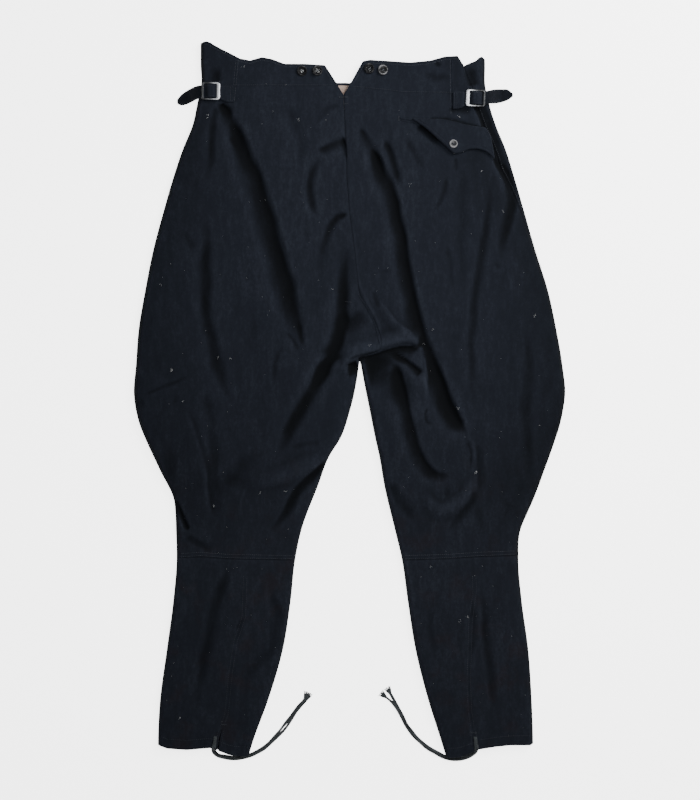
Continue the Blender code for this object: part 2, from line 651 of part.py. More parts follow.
# ---- Things that lie on the panels ----
def pocket_flap():
    """A flap between four edge curves, its points taken from the panel and moved out."""
    u = shares(FLAP_COLUMNS)
    v = shares(FLAP_ROWS)
    lead = route_points(FLAP_LEAD, FLAP_COLUMNS)
    tail = route_points(FLAP_TAIL, FLAP_ROWS)
    top = route_points(FLAP_TOP, FLAP_ROWS)
    low = route_points(FLAP_LOW, FLAP_ROWS)
    tail_long = route_points(FLAP_TAIL, FLAP_COLUMNS)
    across = lead[None, :] * (1 - v)[:, None, None] + tail_long[None, :] * v[:, None, None]
    down = top[:, None] * (1 - u)[None, :, None] + low[:, None] * u[None, :, None]
    corner = (np.multiply.outer(1 - v, 1 - u)[..., None] * top[0]
              + np.multiply.outer(v, 1 - u)[..., None] * tail[0]
              + np.multiply.outer(1 - v, u)[..., None] * low[0]
              + np.multiply.outer(v, u)[..., None] * low[-1])
    plan = across + down - corner
    x, y = plan[..., 0], plan[..., 1]
    open_side = ease(1 - v / FLAP_HINGE)[:, None]
    lift = FLAP_LIFT * open_side * np.sin(pi * u * (1 - FLAP_HELD))[None, :]
    low_skin = np.stack((x, y, top_z(1, x, y) + LAY_GAP + lift), axis=-1)
    closed_mesh("pocket_flap", low_skin, low_skin + np.array((0, 0, CLOTH)))
    near = np.argmin(np.hypot(x - FLAP_BUTTON[0], y - FLAP_BUTTON[1]))
    return float(low_skin[..., 2].flat[near]) + CLOTH


def resting_height(side, x, y, radius):
    """Highest point of the back under a round thing."""
    angle = np.linspace(0, 2 * pi, 12, endpoint=False)
    ring_x = np.concatenate(((x,), x + radius * np.cos(angle)))
    ring_y = np.concatenate(((y,), y + radius * np.sin(angle)))
    return float(np.max(top_z(side, ring_x, ring_y)))


def button(name, x, y, z, radius):
    """A turned button with a raised rim, from its profile spun about its axis."""
    shape = bmesh.new()
    profile = [shape.verts.new((r * radius * MM, 0, h * BUTTON_THICK * MM))
               for r, h in BUTTON_PROFILE]
    edges = [shape.edges.new(pair) for pair in zip(profile, profile[1:])]
    bmesh.ops.spin(shape, geom=profile + edges, cent=(0, 0, 0), axis=(0, 0, 1),
                   angle=2 * pi, steps=BUTTON_SIDES)
    bmesh.ops.remove_doubles(shape, verts=shape.verts, dist=0.00001)
    bmesh.ops.recalc_face_normals(shape, faces=shape.faces)
    mesh = bpy.data.meshes.new(name)
    shape.to_mesh(mesh)
    shape.free()
    piece = add_object(name, mesh, "horn")
    piece.location = (x * MM, y * MM, z * MM)
    return piece


def buttons(flap_top):
    for name, x, y in BRACE_BUTTONS:
        side = -1 if x < 0 else 1
        height = resting_height(side, x, y, BRACE_BUTTON_RADIUS * BUTTON_REST)
        button(name, x, y, height + SEAM_GAP, BRACE_BUTTON_RADIUS)
    button("pocket_flap_button", *FLAP_BUTTON, flap_top + SEAM_GAP, FLAP_BUTTON_RADIUS)


def strap_seat(side):
    """Height on which the cinch strap, its buckle and its tab are stacked."""
    buckle = BUCKLE[side]
    x = buckle["x"] - side * np.linspace(-STRAP_CLEARS["in"], STRAP_CLEARS["out"], 9)
    up = STRAP_CLEARS["up"]
    highest = [np.max(top_z(side, x, buckle["y"] + dy + 0 * x)) for dy in (-up, 0, up)]
    return float(max(highest)) + STRAP_CLEARS["air"]


def strap_height(side, out):
    """Underside of the strap: on the tab, over the centre bar, then down to the floor."""
    buckle = BUCKLE[side]
    seat = strap_seat(side)
    from_centre = out - side * (buckle["x"] - STRAP_START[side])
    climb_from, climb_to = STRAP_CLIMB
    climb = ease((out - climb_from) / (climb_to - climb_from))
    rest = seat + (TAB_WALL + SEAM_GAP) * climb
    over_bar = STRAP_WALL + CENTRE_BAR["thick"] + 3 * SEAM_GAP
    arch = over_bar * (1 - ease((np.abs(from_centre) - ARCH_TOP) / ARCH_SLOPE))
    fall = ease((from_centre - buckle["wide"] / 2 - FALL_STARTS) / FALL_LENGTH)
    return (rest + arch) * (1 - fall) + TAIL_OFF_FLOOR * fall


def cinch_strap(side, word):
    rows = STRAP[side]
    out = shares(round(rows[-1][0] / STRAP_STEP) + 1) * rows[-1][0]
    centre = smooth_through(rows, 1, out)[:, None]
    half = smooth_through(rows, 2, out)[:, None]
    across = np.array(STRAP_ACROSS)[None, :]
    x = (STRAP_START[side] + side * out)[:, None] + 0 * across
    y = centre + half * across
    z = strap_height(side, out)[:, None] + 0 * across
    low = np.stack((x, y, z), axis=-1)
    slope = np.gradient(strap_height(side, out), out)
    lean = np.sqrt(1 + slope ** 2)[:, None]
    high = low.copy()
    high[..., 2] += STRAP_WALL * np.minimum(lean, STEEPEST_WALL)
    closed_mesh("cinch_strap_" + word, low, high)


def rounded_outline(wide, tall, corner, steps=3):
    """Corners of a rectangle, each turned by an arc."""
    points = []
    for quarter, (sx, sy) in enumerate(((1, 1), (-1, 1), (-1, -1), (1, -1))):
        for angle in np.linspace(0, pi / 2, steps) + quarter * pi / 2:
            points.append((sx * (wide / 2 - corner) + corner * np.cos(angle),
                           sy * (tall / 2 - corner) + corner * np.sin(angle)))
    return np.array(points)


def buckle(side, word):
    """A flat cinch buckle: a frame with wide side bars, and a centre bar across it."""
    size = BUCKLE[side]
    low = strap_seat(side) + TAB_WALL + STRAP_WALL + 2 * SEAM_GAP
    outer = rounded_outline(size["wide"], size["tall"], BUCKLE_CORNER)
    window = rounded_outline(size["wide"] - 2 * size["side_bar"],
                             size["tall"] - 2 * size["end_bar"], WINDOW_CORNER)
    shape = bmesh.new()
    rings = []
    for outline, z in ((outer, 0), (outer, BUCKLE_THICK), (window, BUCKLE_THICK), (window, 0)):
        rings.append([shape.verts.new((x * MM, y * MM, z * MM)) for x, y in outline])
    count = len(outer)
    for ring, after in zip(rings, rings[1:] + rings[:1]):
        for k in range(count):
            shape.faces.new((ring[k], ring[(k + 1) % count], after[(k + 1) % count], after[k]))
    bmesh.ops.recalc_face_normals(shape, faces=shape.faces)
    mesh = bpy.data.meshes.new("buckle_" + word)
    shape.to_mesh(mesh)
    shape.free()
    frame = add_object("buckle_" + word, mesh, "metal")
    bar = bmesh.new()
    bmesh.ops.create_cube(bar, size=1)
    reach = size["tall"] - size["end_bar"]
    wide, thick = CENTRE_BAR["wide"], CENTRE_BAR["thick"]
    middle = thick / 2 + CENTRE_BAR["raised"]
    bmesh.ops.scale(bar, vec=(wide * MM, reach * MM, thick * MM), verts=bar.verts)
    bmesh.ops.translate(bar, vec=(0, 0, middle * MM), verts=bar.verts)
    bar_mesh = bpy.data.meshes.new("centre_bar_" + word)
    bar.to_mesh(bar_mesh)
    bar.free()
    cutter = bpy.data.objects.new("centre_bar_" + word, bar_mesh)
    bpy.context.scene.collection.objects.link(cutter)
    cutter.hide_render = True
    cutter.display_type = "WIRE"
    join = frame.modifiers.new("Centre bar", "BOOLEAN")
    join.operation = "UNION"
    join.object = cutter
    for piece in (frame, cutter):
        piece.location = (size["x"] * MM, size["y"] * MM, low * MM)
        piece.rotation_euler[2] = size["turn"] * pi / 180


def buckle_tab(side, word):
    """Short tab from the side edge to the centre bar, under the strap."""
    size = BUCKLE[side]
    inward, rise = np.array(TAB).T
    x = (size["x"] - side * inward)[:, None] + np.zeros((1, 2))
    y = size["y"] + np.array((-TAB_HALF_WIDTH, TAB_HALF_WIDTH))[None, :] + 0 * x
    low = np.stack((x, y, strap_seat(side) + rise[:, None] + 0 * x), axis=-1)
    closed_mesh("buckle_tab_" + word, low, low + np.array((0, 0, TAB_WALL)))


def straps_and_buckles():
    for side, word in SIDES:
        cinch_strap(side, word)
        buckle(side, word)
        buckle_tab(side, word)


# ---- Hem tapes ----
def tape_strand(side, strand):
    """Route of one strand: the pair's centre line moved to one side of it."""
    line = route_points(TAPES[side], TAPE_POINTS)
    heading = np.gradient(line[:, :2], axis=0)
    heading /= np.linalg.norm(heading, axis=1)[:, None]
    aside = np.stack((-heading[:, 1], heading[:, 0]), axis=1)
    plan = line[:, :2] + aside * strand * TAPE_SPACING / 2 * line[:, 3:4]
    height = TAPE_ON_FRONT + (TAPE_ON_FLOOR - TAPE_ON_FRONT) * ease(line[:, 2])
    return np.column_stack((plan, height))


def hem_tapes():
    for side, word in SIDES:
        for strand, letter in ((1, "a"), (-1, "b")):
            route = tape_strand(side, strand)
            name = "hem_tape_%s_%s" % (word, letter)
            curve = bpy.data.curves.new(name, "CURVE")
            curve.dimensions = "3D"
            curve.bevel_depth = TAPE_RADIUS * MM
            curve.bevel_resolution = 2
            curve.use_fill_caps = True
            spline = curve.splines.new("POLY")
            spline.points.add(len(route) - 1)
            for point, (x, y, z) in zip(spline.points, route):
                point.co = (x * MM, y * MM, z * MM, 1)
            add_object(name, curve, "tape")


def build():
    for piece in list(bpy.data.objects):
        bpy.data.objects.remove(piece, do_unlink=True)
    backs_and_bands()
    fronts_and_fly()
    calves()
    waistband_lining()
    buttons(pocket_flap())
    straps_and_buckles()
    hem_tapes()


build()
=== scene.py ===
import bpy
import numpy as np
from functools import partial
from math import pi, radians
from numpy.linalg import norm
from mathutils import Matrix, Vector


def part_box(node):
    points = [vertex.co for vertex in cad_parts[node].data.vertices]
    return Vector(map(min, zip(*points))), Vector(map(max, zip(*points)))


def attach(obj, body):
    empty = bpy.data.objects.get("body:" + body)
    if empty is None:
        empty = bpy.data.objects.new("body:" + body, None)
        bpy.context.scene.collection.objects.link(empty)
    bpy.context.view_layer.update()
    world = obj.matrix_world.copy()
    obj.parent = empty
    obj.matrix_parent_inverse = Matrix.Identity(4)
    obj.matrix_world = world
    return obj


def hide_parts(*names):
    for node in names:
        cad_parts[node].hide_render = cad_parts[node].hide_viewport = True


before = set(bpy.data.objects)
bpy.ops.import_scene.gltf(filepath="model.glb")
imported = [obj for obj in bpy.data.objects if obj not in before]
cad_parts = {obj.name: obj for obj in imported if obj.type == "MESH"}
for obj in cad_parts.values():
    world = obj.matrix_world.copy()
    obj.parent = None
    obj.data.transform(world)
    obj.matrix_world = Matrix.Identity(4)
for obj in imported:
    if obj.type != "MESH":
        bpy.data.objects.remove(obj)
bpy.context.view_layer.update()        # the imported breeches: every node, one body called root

mm = 0.001
legs = (("left", -1), ("right", 1))     # the wearer's left leg lies at -X
print("breeches: frame loaded,", len(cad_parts), "nodes")

# The garment's form in millimetres: X runs across it, Y from the hems up to the waist, and
# the ground is Z = 0
form = {
    "cloth": 1.8,               # wall of the wool
    "edgeRadius": 7.0,          # plan radius of the round side edges
    "edgeShare": 0.42,          # height of an edge seam as a share of the height there
    "crotch": 62.0,             # where the legs part
    "crotchBlend": 26.0,        # the run over which their inner edges grow round
    "knee": -240.0,
    "waistAt": 460.0, "bandAt": 510.0, "hemAt": -525.0,     # heights at which edges are read
    "sideSeamRoll": 2.5,        # how far the left side seam lies in from the outline
    "crownReach": 90.0,         # distance from an edge at which the puff is full
    "foldFade": 9.0,            # distance from an edge at which the folds are full
    "lowestTop": 4.4,           # the back never sinks into the front below this
    "softness": 0.8,            # how gently it comes to rest there
    "seamGap": 0.3,             # air between sewn pieces
    "seamDip": 0.6,             # how far a pressed seam lies below the panels beside it
    "flatSeamDip": 0.12,        # the same at the waistband, which is pressed flat
    "seamReach": 3.2,
    # height, painted light and shade on the wool there: how much paler it is painted, darker below
    # zero
    "paintedLightByHeight": ((-536, 0.12), (-300, 0.12), (-225, 0.05), (-130, -0.10), (20, -0.08),
                 (120, 0.0), (380, 0.06), (450, 0.2), (536, 0.12)),
    # height, outer edge of the left leg, outer edge of the right leg
    "outline": (
        (534, -223, 202), (501, -223, 203), (474, -222, 203), (444, -228, 209),
        (412, -235, 219), (375, -250, 234), (330, -265, 248), (285, -278, 261),
        (225, -294, 278), (165, -306, 297), (105, -316, 310), (52, -320, 319),
        (8, -323, 323), (-15, -320, 320), (-38, -314, 315), (-60, -305, 308),
        (-105, -284, 292), (-150, -263, 275), (-168, -261, 267), (-195, -260, 256),
        (-237, -259, 253), (-300, -264, 258), (-375, -274, 268), (-450, -284, 273),
        (-510, -287, 275), (-536, -287, 275)),
    # height, inner edge of the left leg, inner edge of the right leg
    "legGap": (
        (62, 15, 15), (52, 14, 17), (30, 11, 21), (-15, 1, 30), (-60, -15, 39),
        (-82, -29, 44), (-128, -47, 52), (-195, -72, 68), (-237, -81, 78),
        (-300, -88, 87), (-375, -100, 99), (-450, -122, 118), (-510, -144, 137),
        (-536, -152, 145)),
    "seatSeam": (
        (456, -9), (412, -7), (330, -4), (278, 0), (225, 7), (168, 13), (150, 17),
        (135, 28), (116, 38), (96, 46), (81, 47), (73, 43), (67, 26), (62, 15)),
    # height, how far the right side seam lies in from the outline
    "sideSeamIn": (
        (534, 34), (501, 33), (465, 19), (435, 19), (380, 17), (345, 17), (320, 11),
        (280, 6), (230, 2.5)),
    # height, top of the back over the floor, puff between the edges
    "thickness": (
        (536, 9.6, 1.2), (450, 9.8, 1.8), (330, 9.6, 3.4), (120, 9.8, 3.8), (-60, 9.6, 3.4),
        (-237, 9.0, 2.2), (-380, 9.0, 2.2), (-500, 8.6, 1.6), (-536, 8.4, 1.4)),
    "waistEdge": (
        (-224, 530), (-220, 535), (-214, 536), (-208, 534), (-202, 530), (-191, 524),
        (-179, 518), (-164, 510), (-149, 507), (-131, 512), (-116, 509), (-97, 502),
        (-67, 502), (-37, 500), (-22, 477), (-9, 456), (4, 477), (15, 497), (20, 506),
        (31, 508), (61, 506), (91, 504), (121, 507), (143, 513), (162, 514), (169, 502),
        (181, 504), (188, 506), (194, 512), (199, 513), (202, 510)),
    "waistSeam": (
        (-224, 466), (-172, 469), (-17, 469), (-9, 456), (-2, 467), (20, 466), (80, 459),
        (150, 458), (203, 456)),
    "frontEdge": (
        (-223, 534), (-187, 510), (-134, 489), (-74, 478), (0, 475), (76, 478), (136, 489),
        (172, 500), (181, 504), (188, 506), (194, 512), (199, 513), (202, 510)),
    "notchSides": {-1: ((469, -17), (477, -22), (500, -37)),
                   1: ((467, -2), (477, 4), (497, 15), (506, 20))},
    "kneeSeam": {-1: ((-259, -237), (-223, -235), (-181, -238), (-82, -240)),
                 1: ((79, -240), (149, -238), (190, -235), (253, -233))},
    "hem": {-1: ((-287, -516), (-273, -521), (-244, -523), (-209, -520), (-197, -524),
                 (-181, -530), (-170, -532), (-152, -533)),
            1: ((146, -535), (164, -534), (181, -528), (194, -522), (220, -518),
                (240, -516), (271, -516), (275, -514))},
    # height, edge of the outer calf piece, edge of the inner one
    "calfSeam": {-1: ((-240, -155, -155), (-324, -158, -158), (-360, -170, -170),
                      (-409, -178, -178), (-470, -184, -184), (-486, -190, -190),
                      (-504, -195, -193), (-524, -199, -196)),
                 1: ((-235, 185, 185), (-285, 187, 187), (-330, 181, 181),
                     (-420, 178, 178), (-465, 180, 180), (-498, 185, 185),
                     (-510, 188, 186), (-522, 190, 187))},
    "shin": {-1: ((-240, -172), (-536, -218)), 1: ((-236, 168), (-536, 208))},
}

# Folds of the back, a row each: name, route from top to bottom, reach on its -X and on its
# +X side, depth (a trough is positive, a ridge negative), fade at its start and at its end; shadeOf
# also paints shade on the wool by each fold's depth
mainFolds = (
    ("strap sweep", ((-172, 425), (-164, 395), (-154, 368), (-140, 333), (-125, 285),
                     (-107, 225), (-90, 160), (-76, 105), (-64, 62)), 34, 15, 5.5, 40, 110),
    ("strap root", ((-190, 445), (-181, 424), (-173, 402), (-167, 380), (-160, 350)),
     19, 11, 3.4, 4, 60),
    ("strap shade", ((-200, 442), (-186, 439), (-170, 434)), 19, 5, 1.9, 6, 10),
    ("side fall", ((-218, 285), (-212, 240), (-216, 172), (-208, 100), (-192, 36),
                   (-174, -14)), 17, 13, 2.3, 80, 80),
    ("seat trough", ((-8, 252), (-9, 165), (-11, 123), (-22, 78), (-42, 39), (-58, 12)),
     19, 14, 4.2, 110, 40),
    ("thigh trough", ((-22, 78), (-42, 39), (-72, -14), (-97, -58), (-114, -92)),
     15, 17, 4.0, 44, 80),
    ("seam hollow", ((-14, 112), (2, 117), (15, 123), (26, 130)), 27, 22, 2.2, 12, 14),
    ("seat shade", ((-8, 134), (-5, 106), (-16, 76), (-30, 52)), 28, 27, 2.1, 20, 24),
    ("seat curl", ((-40, 372), (-53, 345), (-60, 318), (-57, 294), (-46, 266)), 12, 9, 2.7, 40, 34),
    ("seat bar", ((-52, 373), (-30, 379), (-6, 388)), 15, 8, 2.9, 14, 3),
    ("seat bar end", ((-8, 392), (-6, 376), (-5, 354)), 9, 3, 2.0, 5, 20),
    ("seat arc", ((-1, 277), (-15, 274), (-26, 262), (-38, 235), (-44, 196), (-52, 153)),
     9, 9, 2.9, 8, 150),
    ("knee ridge", ((-31, -84), (-74, -105), (-119, -123), (-155, -134)),
     24, 14, -2.2, 40, 60),
    ("knee wedge", ((-34, -90), (-62, -117), (-83, -142), (-101, -172), (-124, -204)),
     9, 14, 3.9, 12, 66),
    ("knee dip", ((-128, -70), (-164, -108), (-185, -128), (-182, -162)),
     26, 26, 1.1, 40, 40),
    ("knee tuck", ((-262, -150), (-255, -168), (-247, -184), (-241, -195)),
     6, 6, 3.0, 6, 6),
    ("calf sweep -1", ((-180, -246), (-190, -276), (-200, -308), (-209, -357), (-220, -402),
                       (-228, -445), (-232, -480)), 15, 15, 2.0, 40, 110),
    ("calf edge -1", ((-122, -273), (-110, -318), (-118, -372), (-149, -411),
                      (-163, -453)), 14, 14, 1.5, 40, 50),
    ("flap sweep", ((30, 380), (42, 356), (58, 322), (74, 270), (84, 210), (94, 150),
                    (110, 92), (133, 32), (156, -26), (177, -55)), 25, 10, 5.3, 26, 30),
    ("flap root", ((15, 408), (27, 387), (39, 364), (48, 340), (57, 312)), 17, 9, 2.5, 10, 60),
    ("crotch lobe", ((-7, 50), (-1, 61), (16, 68), (43, 76), (67, 84), (96, 88), (107, 83)),
     3, 22, -3.6, 8, 10),
    ("lobe hollow", ((10, 59), (38, 67), (66, 75), (96, 79), (106, 75)), 30, 3.5, 4.8, 8, 14),
    ("lobe side", ((107, 84), (113, 62), (115, 43), (115, 15), (121, -5)), 14, 3, -2.6, 6, 30),
    ("lobe inner", ((60, 72), (73, 65), (92, 53), (112, 39)), 14, 4, 4.2, 16, 6),
    ("lobe shade", ((20, 46), (46, 46), (70, 32), (80, 4), (85, -26)), 44, 28, 4.6, 14, 50),
    ("knee bowl", ((66, 58), (73, 38), (80, 10), (86, -18), (93, -50), (102, -76), (112, -95),
                   (125, -108), (140, -111), (156, -103)), 23, 9, 3.7, 24, 44),
    ("bowl rim", ((106, -138), (136, -165), (169, -147), (190, -112)), 16, 14, -2.4, 30, 24),
    ("bowl under", ((192, -126), (178, -154), (146, -200)), 9, 12, 1.7, 20, 34),
    ("inner knee", ((56, -120), (70, -144), (103, -186)), 12, 16, 1.6, 16, 30),
    ("long fall", ((209, 330), (203, 255), (188, 158), (181, 60), (185, -30)),
     10, 11, 1.5, 90, 120),
    ("side curl", ((216, 364), (233, 338), (242, 308), (240, 272), (231, 240), (222, 205)),
     15, 11, 2.2, 20, 70),
    ("calf fall", ((181, -300), (184, -352), (181, -402)), 8, 8, 1.4, 24, 34),
    ("calf sweep +1", ((194, -262), (197, -300), (201, -345), (210, -399), (213, -445),
                       (213, -489)), 9, 13, 1.7, 80, 90),
    ("strap pinch -1", ((-199, 506), (-200, 490), (-199, 474)), 14, 12, 1.7, 22, 4),
    ("strap pinch +1", ((176, 502), (181, 484), (185, 468)), 12, 13, 1.8, 14, 4),)
fineFolds = (
    ("strap fall", ((-200, 442), (-206, 410), (-209, 372), (-208, 320)), 8, 10, 1.5, 8, 60),
    ("strap nick", ((-184, 393), (-167, 375)), 5, 5, 0.8, 8, 8),
    ("band fall", ((-94, 442), (-82, 412), (-74, 375), (-77, 338)), 13, 13, 1.5, 24, 36),
    ("back nick", ((-67, 278), (-62, 232)), 8, 8, 0.8, 16, 16),
    ("outer slant", ((-250, 258), (-226, 220)), 9, 9, 0.7, 16, 16),
    ("notch arc", ((-55, 412), (-38, 432), (-14, 441)), 9, 9, 1.3, 14, 10),
    ("notch nick", ((-10, 382), (-4, 360)), 4, 3, 1.0, 8, 8),
    ("fork inner", ((-77, 120), (-71, 75)), 6, 6, 1.4, 12, 16),
    ("fork outer", ((-97, 105), (-74, 68)), 5, 5, 1.2, 12, 12),
    ("fork tail", ((-101, 82), (-110, 60), (-113, 22)), 6, 6, 0.9, 12, 20),
    ("thigh nick", ((-146, 135), (-140, 82)), 9, 9, 0.5, 24, 24),
    ("outer crease", ((-313, 6), (-284, 18), (-257, 28), (-236, 39)), 5, 5, 0.7, 20, 26),
    ("outer corner", ((-323, 0), (-302, -12)), 13, 13, 0.6, 6, 12),
    ("long ridge", ((-248, -12), (-230, -60), (-220, -98), (-212, -150), (-208, -180)),
     6, 6, -0.4, 26, 30),
    ("long crease", ((-244, -12), (-226, -60), (-215, -98), (-208, -150), (-203, -180)),
     4, 8, 0.6, 26, 30),
    ("knee hang", ((-220, 22), (-209, -18), (-205, -60), (-205, -120), (-200, -180)),
     14, 14, 0.9, 30, 30),
    ("side nick", ((-257, 10), (-260, -8)), 5, 5, 0.3, 6, 6),
    ("outer hang", ((-268, -60), (-266, -135)), 14, 14, 0.6, 30, 30),
    ("knee shade", ((-187, -105), (-161, -128), (-134, -135)), 18, 18, 0.6, 16, 16),
    ("knee thread ridge", ((-157, -132), (-163, -150), (-164, -180)), 4, 4, -0.7, 8, 12),
    ("inner shade", ((-97, -68), (-37, -64)), 7, 7, 0.6, 16, 16),
    ("crotch pocket", ((-5, 52), (4, 53), (13, 57)), 24, 3, 6.6, 6, 5),
    ("crotch rim", ((-9, 60), (-8, 47), (-2, 37)), 4, 2, -1.2, 6, 8),
    ("tuck foot", ((-247, -200), (-228, -214), (-202, -225)), 10, 10, 1.2, 10, 20),
    ("flap seam", ((118, 421.5), (140, 421.5), (158, 417.5), (176, 412.5), (203, 408)),
     3.5, 3, 1.5, 4, 4),
    ("sweep second", ((53, 394), (61, 364), (68, 336), (74, 306)), 14, 8, 2.9, 16, 34),
    ("sweep ridge", ((50, 375), (56, 357), (61, 338)), 4, 4, -0.7, 8, 12),
    ("band bowl", ((109, 492), (124, 482), (151, 483)), 11, 10, 0.9, 14, 16),
    ("band spot", ((127, 507), (133, 495)), 6, 6, 1.2, 4, 6),
    ("flap lead", ((82, 398), (95, 368), (109, 340)), 9, 9, 1.2, 18, 20),
    ("flap ridge", ((73, 412), (64, 375)), 6, 6, -0.8, 10, 14),
    ("point fall", ((157, 364), (158, 338)), 5, 5, 0.9, 4, 12),
    ("under flap", ((143, 339), (137, 300), (124, 278)), 7, 7, 1.0, 14, 16),
    ("mouth hollow", ((104, 415), (116, 404), (129, 392), (143, 380)), 16, 5, 3.0, 6, 22),
    ("strap shade two", ((146, 434), (166, 434), (184, 433)), 9, 8, 1.4, 8, 8),
    ("sweep foot", ((125, 66), (136, 36), (147, 4), (160, -24), (172, -44)), 46, 5, 1.8, 40, 30),
    ("side dusk", ((188, 442), (198, 420), (206, 400), (213, 381), (219, 360), (227, 342),
                   (236, 322), (241, 296)), 6, 22, 4.2, 4, 70),
    ("right hang", ((167, 360), (167, 150)), 13, 13, 0.8, 40, 50),
    ("right slant", ((143, 240), (158, 150)), 8, 8, 0.7, 25, 30),
    ("side nick two", ((215, 207), (223, 195)), 4, 4, 0.7, 5, 5),
    ("side hang", ((263, 112), (266, 60), (265, 0), (266, -135)), 13, 13, 0.9, 50, 70),
    ("edge crease", ((275, 240), (293, 165)), 5, 5, 0.9, 20, 20),
    ("seat cross", ((46, 188), (68, 195)), 5, 5, 0.6, 8, 8),
    ("seat down", ((34, 165), (43, 135)), 5, 5, 0.7, 10, 10),
    ("seat edge", ((4, 262), (7, 225), (16, 172), (28, 142), (41, 116), (49, 90)),
     5, 4, -1.0, 20, 16),
    ("lobe edge", ((44, 146), (63, 125), (88, 103), (106, 86)), 14, 3, -1.8, 12, 8),
    ("bowl curl", ((118, -8), (113, -20), (115, -33), (124, -37)), 4, 4, 1.2, 8, 8),
    ("knee thin ridge", ((177, -50), (184, -70), (187, -90), (186, -106), (192, -114)),
     4, 4, -0.9, 8, 10),
    ("knee thin line", ((173, -60), (180, -76), (182, -100)), 3, 3, 0.9, 8, 10),
    ("knee thin groove", ((184, -60), (195, -105), (193, -140)), 4, 12, 0.8, 14, 20),
    ("knee low", ((146, -120), (145, -150)), 6, 6, 0.8, 10, 10),
    ("outer low", ((238, -142), (233, -180)), 11, 11, 0.5, 16, 16),
    ("low hang", ((188, -150), (196, -202)), 9, 9, 0.5, 18, 18),
    ("calf nick", ((-160, -326), (-170, -345)), 4, 4, 0.9, 6, 6),
    ("calf hang", ((166, -330), (164, -382)), 7, 7, 0.7, 16, 16),
    ("calf inner hang", ((116, -300), (124, -360), (140, -405)), 10, 10, 0.8, 25, 25),)

folding = {
    "samples": 30,              # points along a route
    "drift": 2.4, "driftCell": 31.0, "driftSeeds": (3, 4),      # how folds stray from routes
    "narrow": 0.25, "slimmest": 4.0,        # share of the reach, and least reach, at the ends
    "easeIn": 0.35, "easeOut": 0.4,         # most of the length over which the reach narrows
    "broad": ("hollow", "shade", "dusk", "foot", "pocket"),     # last words where it doesn't
}
# Swells of worn wool: cell, height, and how far each is drawn out down the leg
swells = ((44.0, 0.65, 2.2), (17.0, 0.3, 1.8), (7.5, 0.1, 1.4))
swellSeed = 11
lattice = {"size": 64, "shift": (31.7, 30.3)}       # knots each way, cells from its corner


# Cubic through one column of a table: Hermite pieces whose slopes are the table's own
def smoothThrough(table, column, at):
    rows = sorted(table)
    station = np.array([row[0] for row in rows], float)
    value = np.array([row[column] for row in rows], float)
    slope = np.gradient(value, station)
    at = np.clip(at, station[0], station[-1])
    low = np.clip(np.searchsorted(station, at) - 1, 0, len(station) - 2)
    span = station[low + 1] - station[low]
    t = (at - station[low]) / span
    return ((1 + 2 * t) * (1 - t) ** 2 * value[low] + t * (1 - t) ** 2 * span * slope[low]
            + t * t * (3 - 2 * t) * value[low + 1] + t * t * (t - 1) * span * slope[low + 1])


# Straight runs through (station, value) pairs
def straightThrough(table, at):
    rows = sorted(table)
    return np.interp(at, [row[0] for row in rows], [row[1] for row in rows])


# Evenly spaced points on a smooth curve through a route of any dimension
def routePoints(route, count):
    points = np.array(route, float)
    steps = norm(np.diff(points, axis=0), axis=1)
    station = np.concatenate(([0], np.cumsum(steps)))
    at = np.linspace(0, station[-1], count)
    columns = [smoothThrough(tuple(zip(station, points[:, axis])), 1, at)
               for axis in range(points.shape[1])]
    return np.stack(columns, axis=1)


# 3t^2 - 2t^3, level at both ends
def ease(t):
    t = np.clip(t, 0, 1)
    return t * t * (3 - 2 * t)


# Outer edge of a leg: the table's first column on the left, its second on the right
def outerX(side, y):
    return smoothThrough(form["outline"], 1 if side < 0 else 2, y)


# Seat seam above the crotch, inner leg edge below it
def innerX(side, y):
    leg = smoothThrough(form["legGap"], 1 if side < 0 else 2, y)
    return np.where(y > form["crotch"], straightThrough(form["seatSeam"], y), leg)


# Side seam: the outer edge less the roll on the left, less the table's distance on the right
def sideSeamX(side, y):
    inwards = form["sideSeamRoll"] if side < 0 else straightThrough(form["sideSeamIn"], y)
    return outerX(side, y) - side * inwards


# Side of the notch at the back of the waist
def notchX(side, y):
    return straightThrough(form["notchSides"][side], y)


# Seam of a calf piece: column 1 for the outer piece, 2 for the inner one
def calfX(side, column, y):
    return straightThrough([(row[0], row[column]) for row in form["calfSeam"][side]], y)


# Shin seam of a calf piece, half the gap to its own way out
def shinX(side, way, y):
    return straightThrough(form["shin"][side], y) + way * form["seamGap"] / 2


# 0 where the legs are one, 1 where each has a round inner edge
def splitShare(y):
    return ease((form["crotch"] - y) / form["crotchBlend"])


# Rise of a quarter round: 0 at the edge, 1 at the edge radius from it
def roundShare(distance):
    return np.sqrt(1 - (1 - np.clip(distance / form["edgeRadius"], 0, 1)) ** 2)


# Height of the back over the floor, and of its edge seams
def garmentTop(y):
    return smoothThrough(form["thickness"], 1, y)


def edgeHeight(y):
    return form["edgeShare"] * garmentTop(y)


# Distances in from the outer edge and from the inner one
def edgeDistances(side, x, y):
    return side * (outerX(side, y) - x), side * (x - innerX(side, y))


# Smooth random swell: seeded lattice values blended by ease in X and Y, from -1 to 1
def swell(x, y, cell, seed, stretch=1.0):
    size, (shiftX, shiftY) = lattice["size"], lattice["shift"]
    knots = np.random.default_rng(seed).uniform(-1, 1, (size, size))
    u, v = x / cell + shiftX, y / (cell * stretch) + shiftY
    i, j = np.floor(u).astype(int), np.floor(v).astype(int)
    s, t = ease(u - i), ease(v - j)
    i, j = i % (size - 1), j % (size - 1)
    low = knots[i, j] * (1 - s) + knots[i + 1, j] * s
    high = knots[i, j + 1] * (1 - s) + knots[i + 1, j + 1] * s
    return low * (1 - t) + high * t


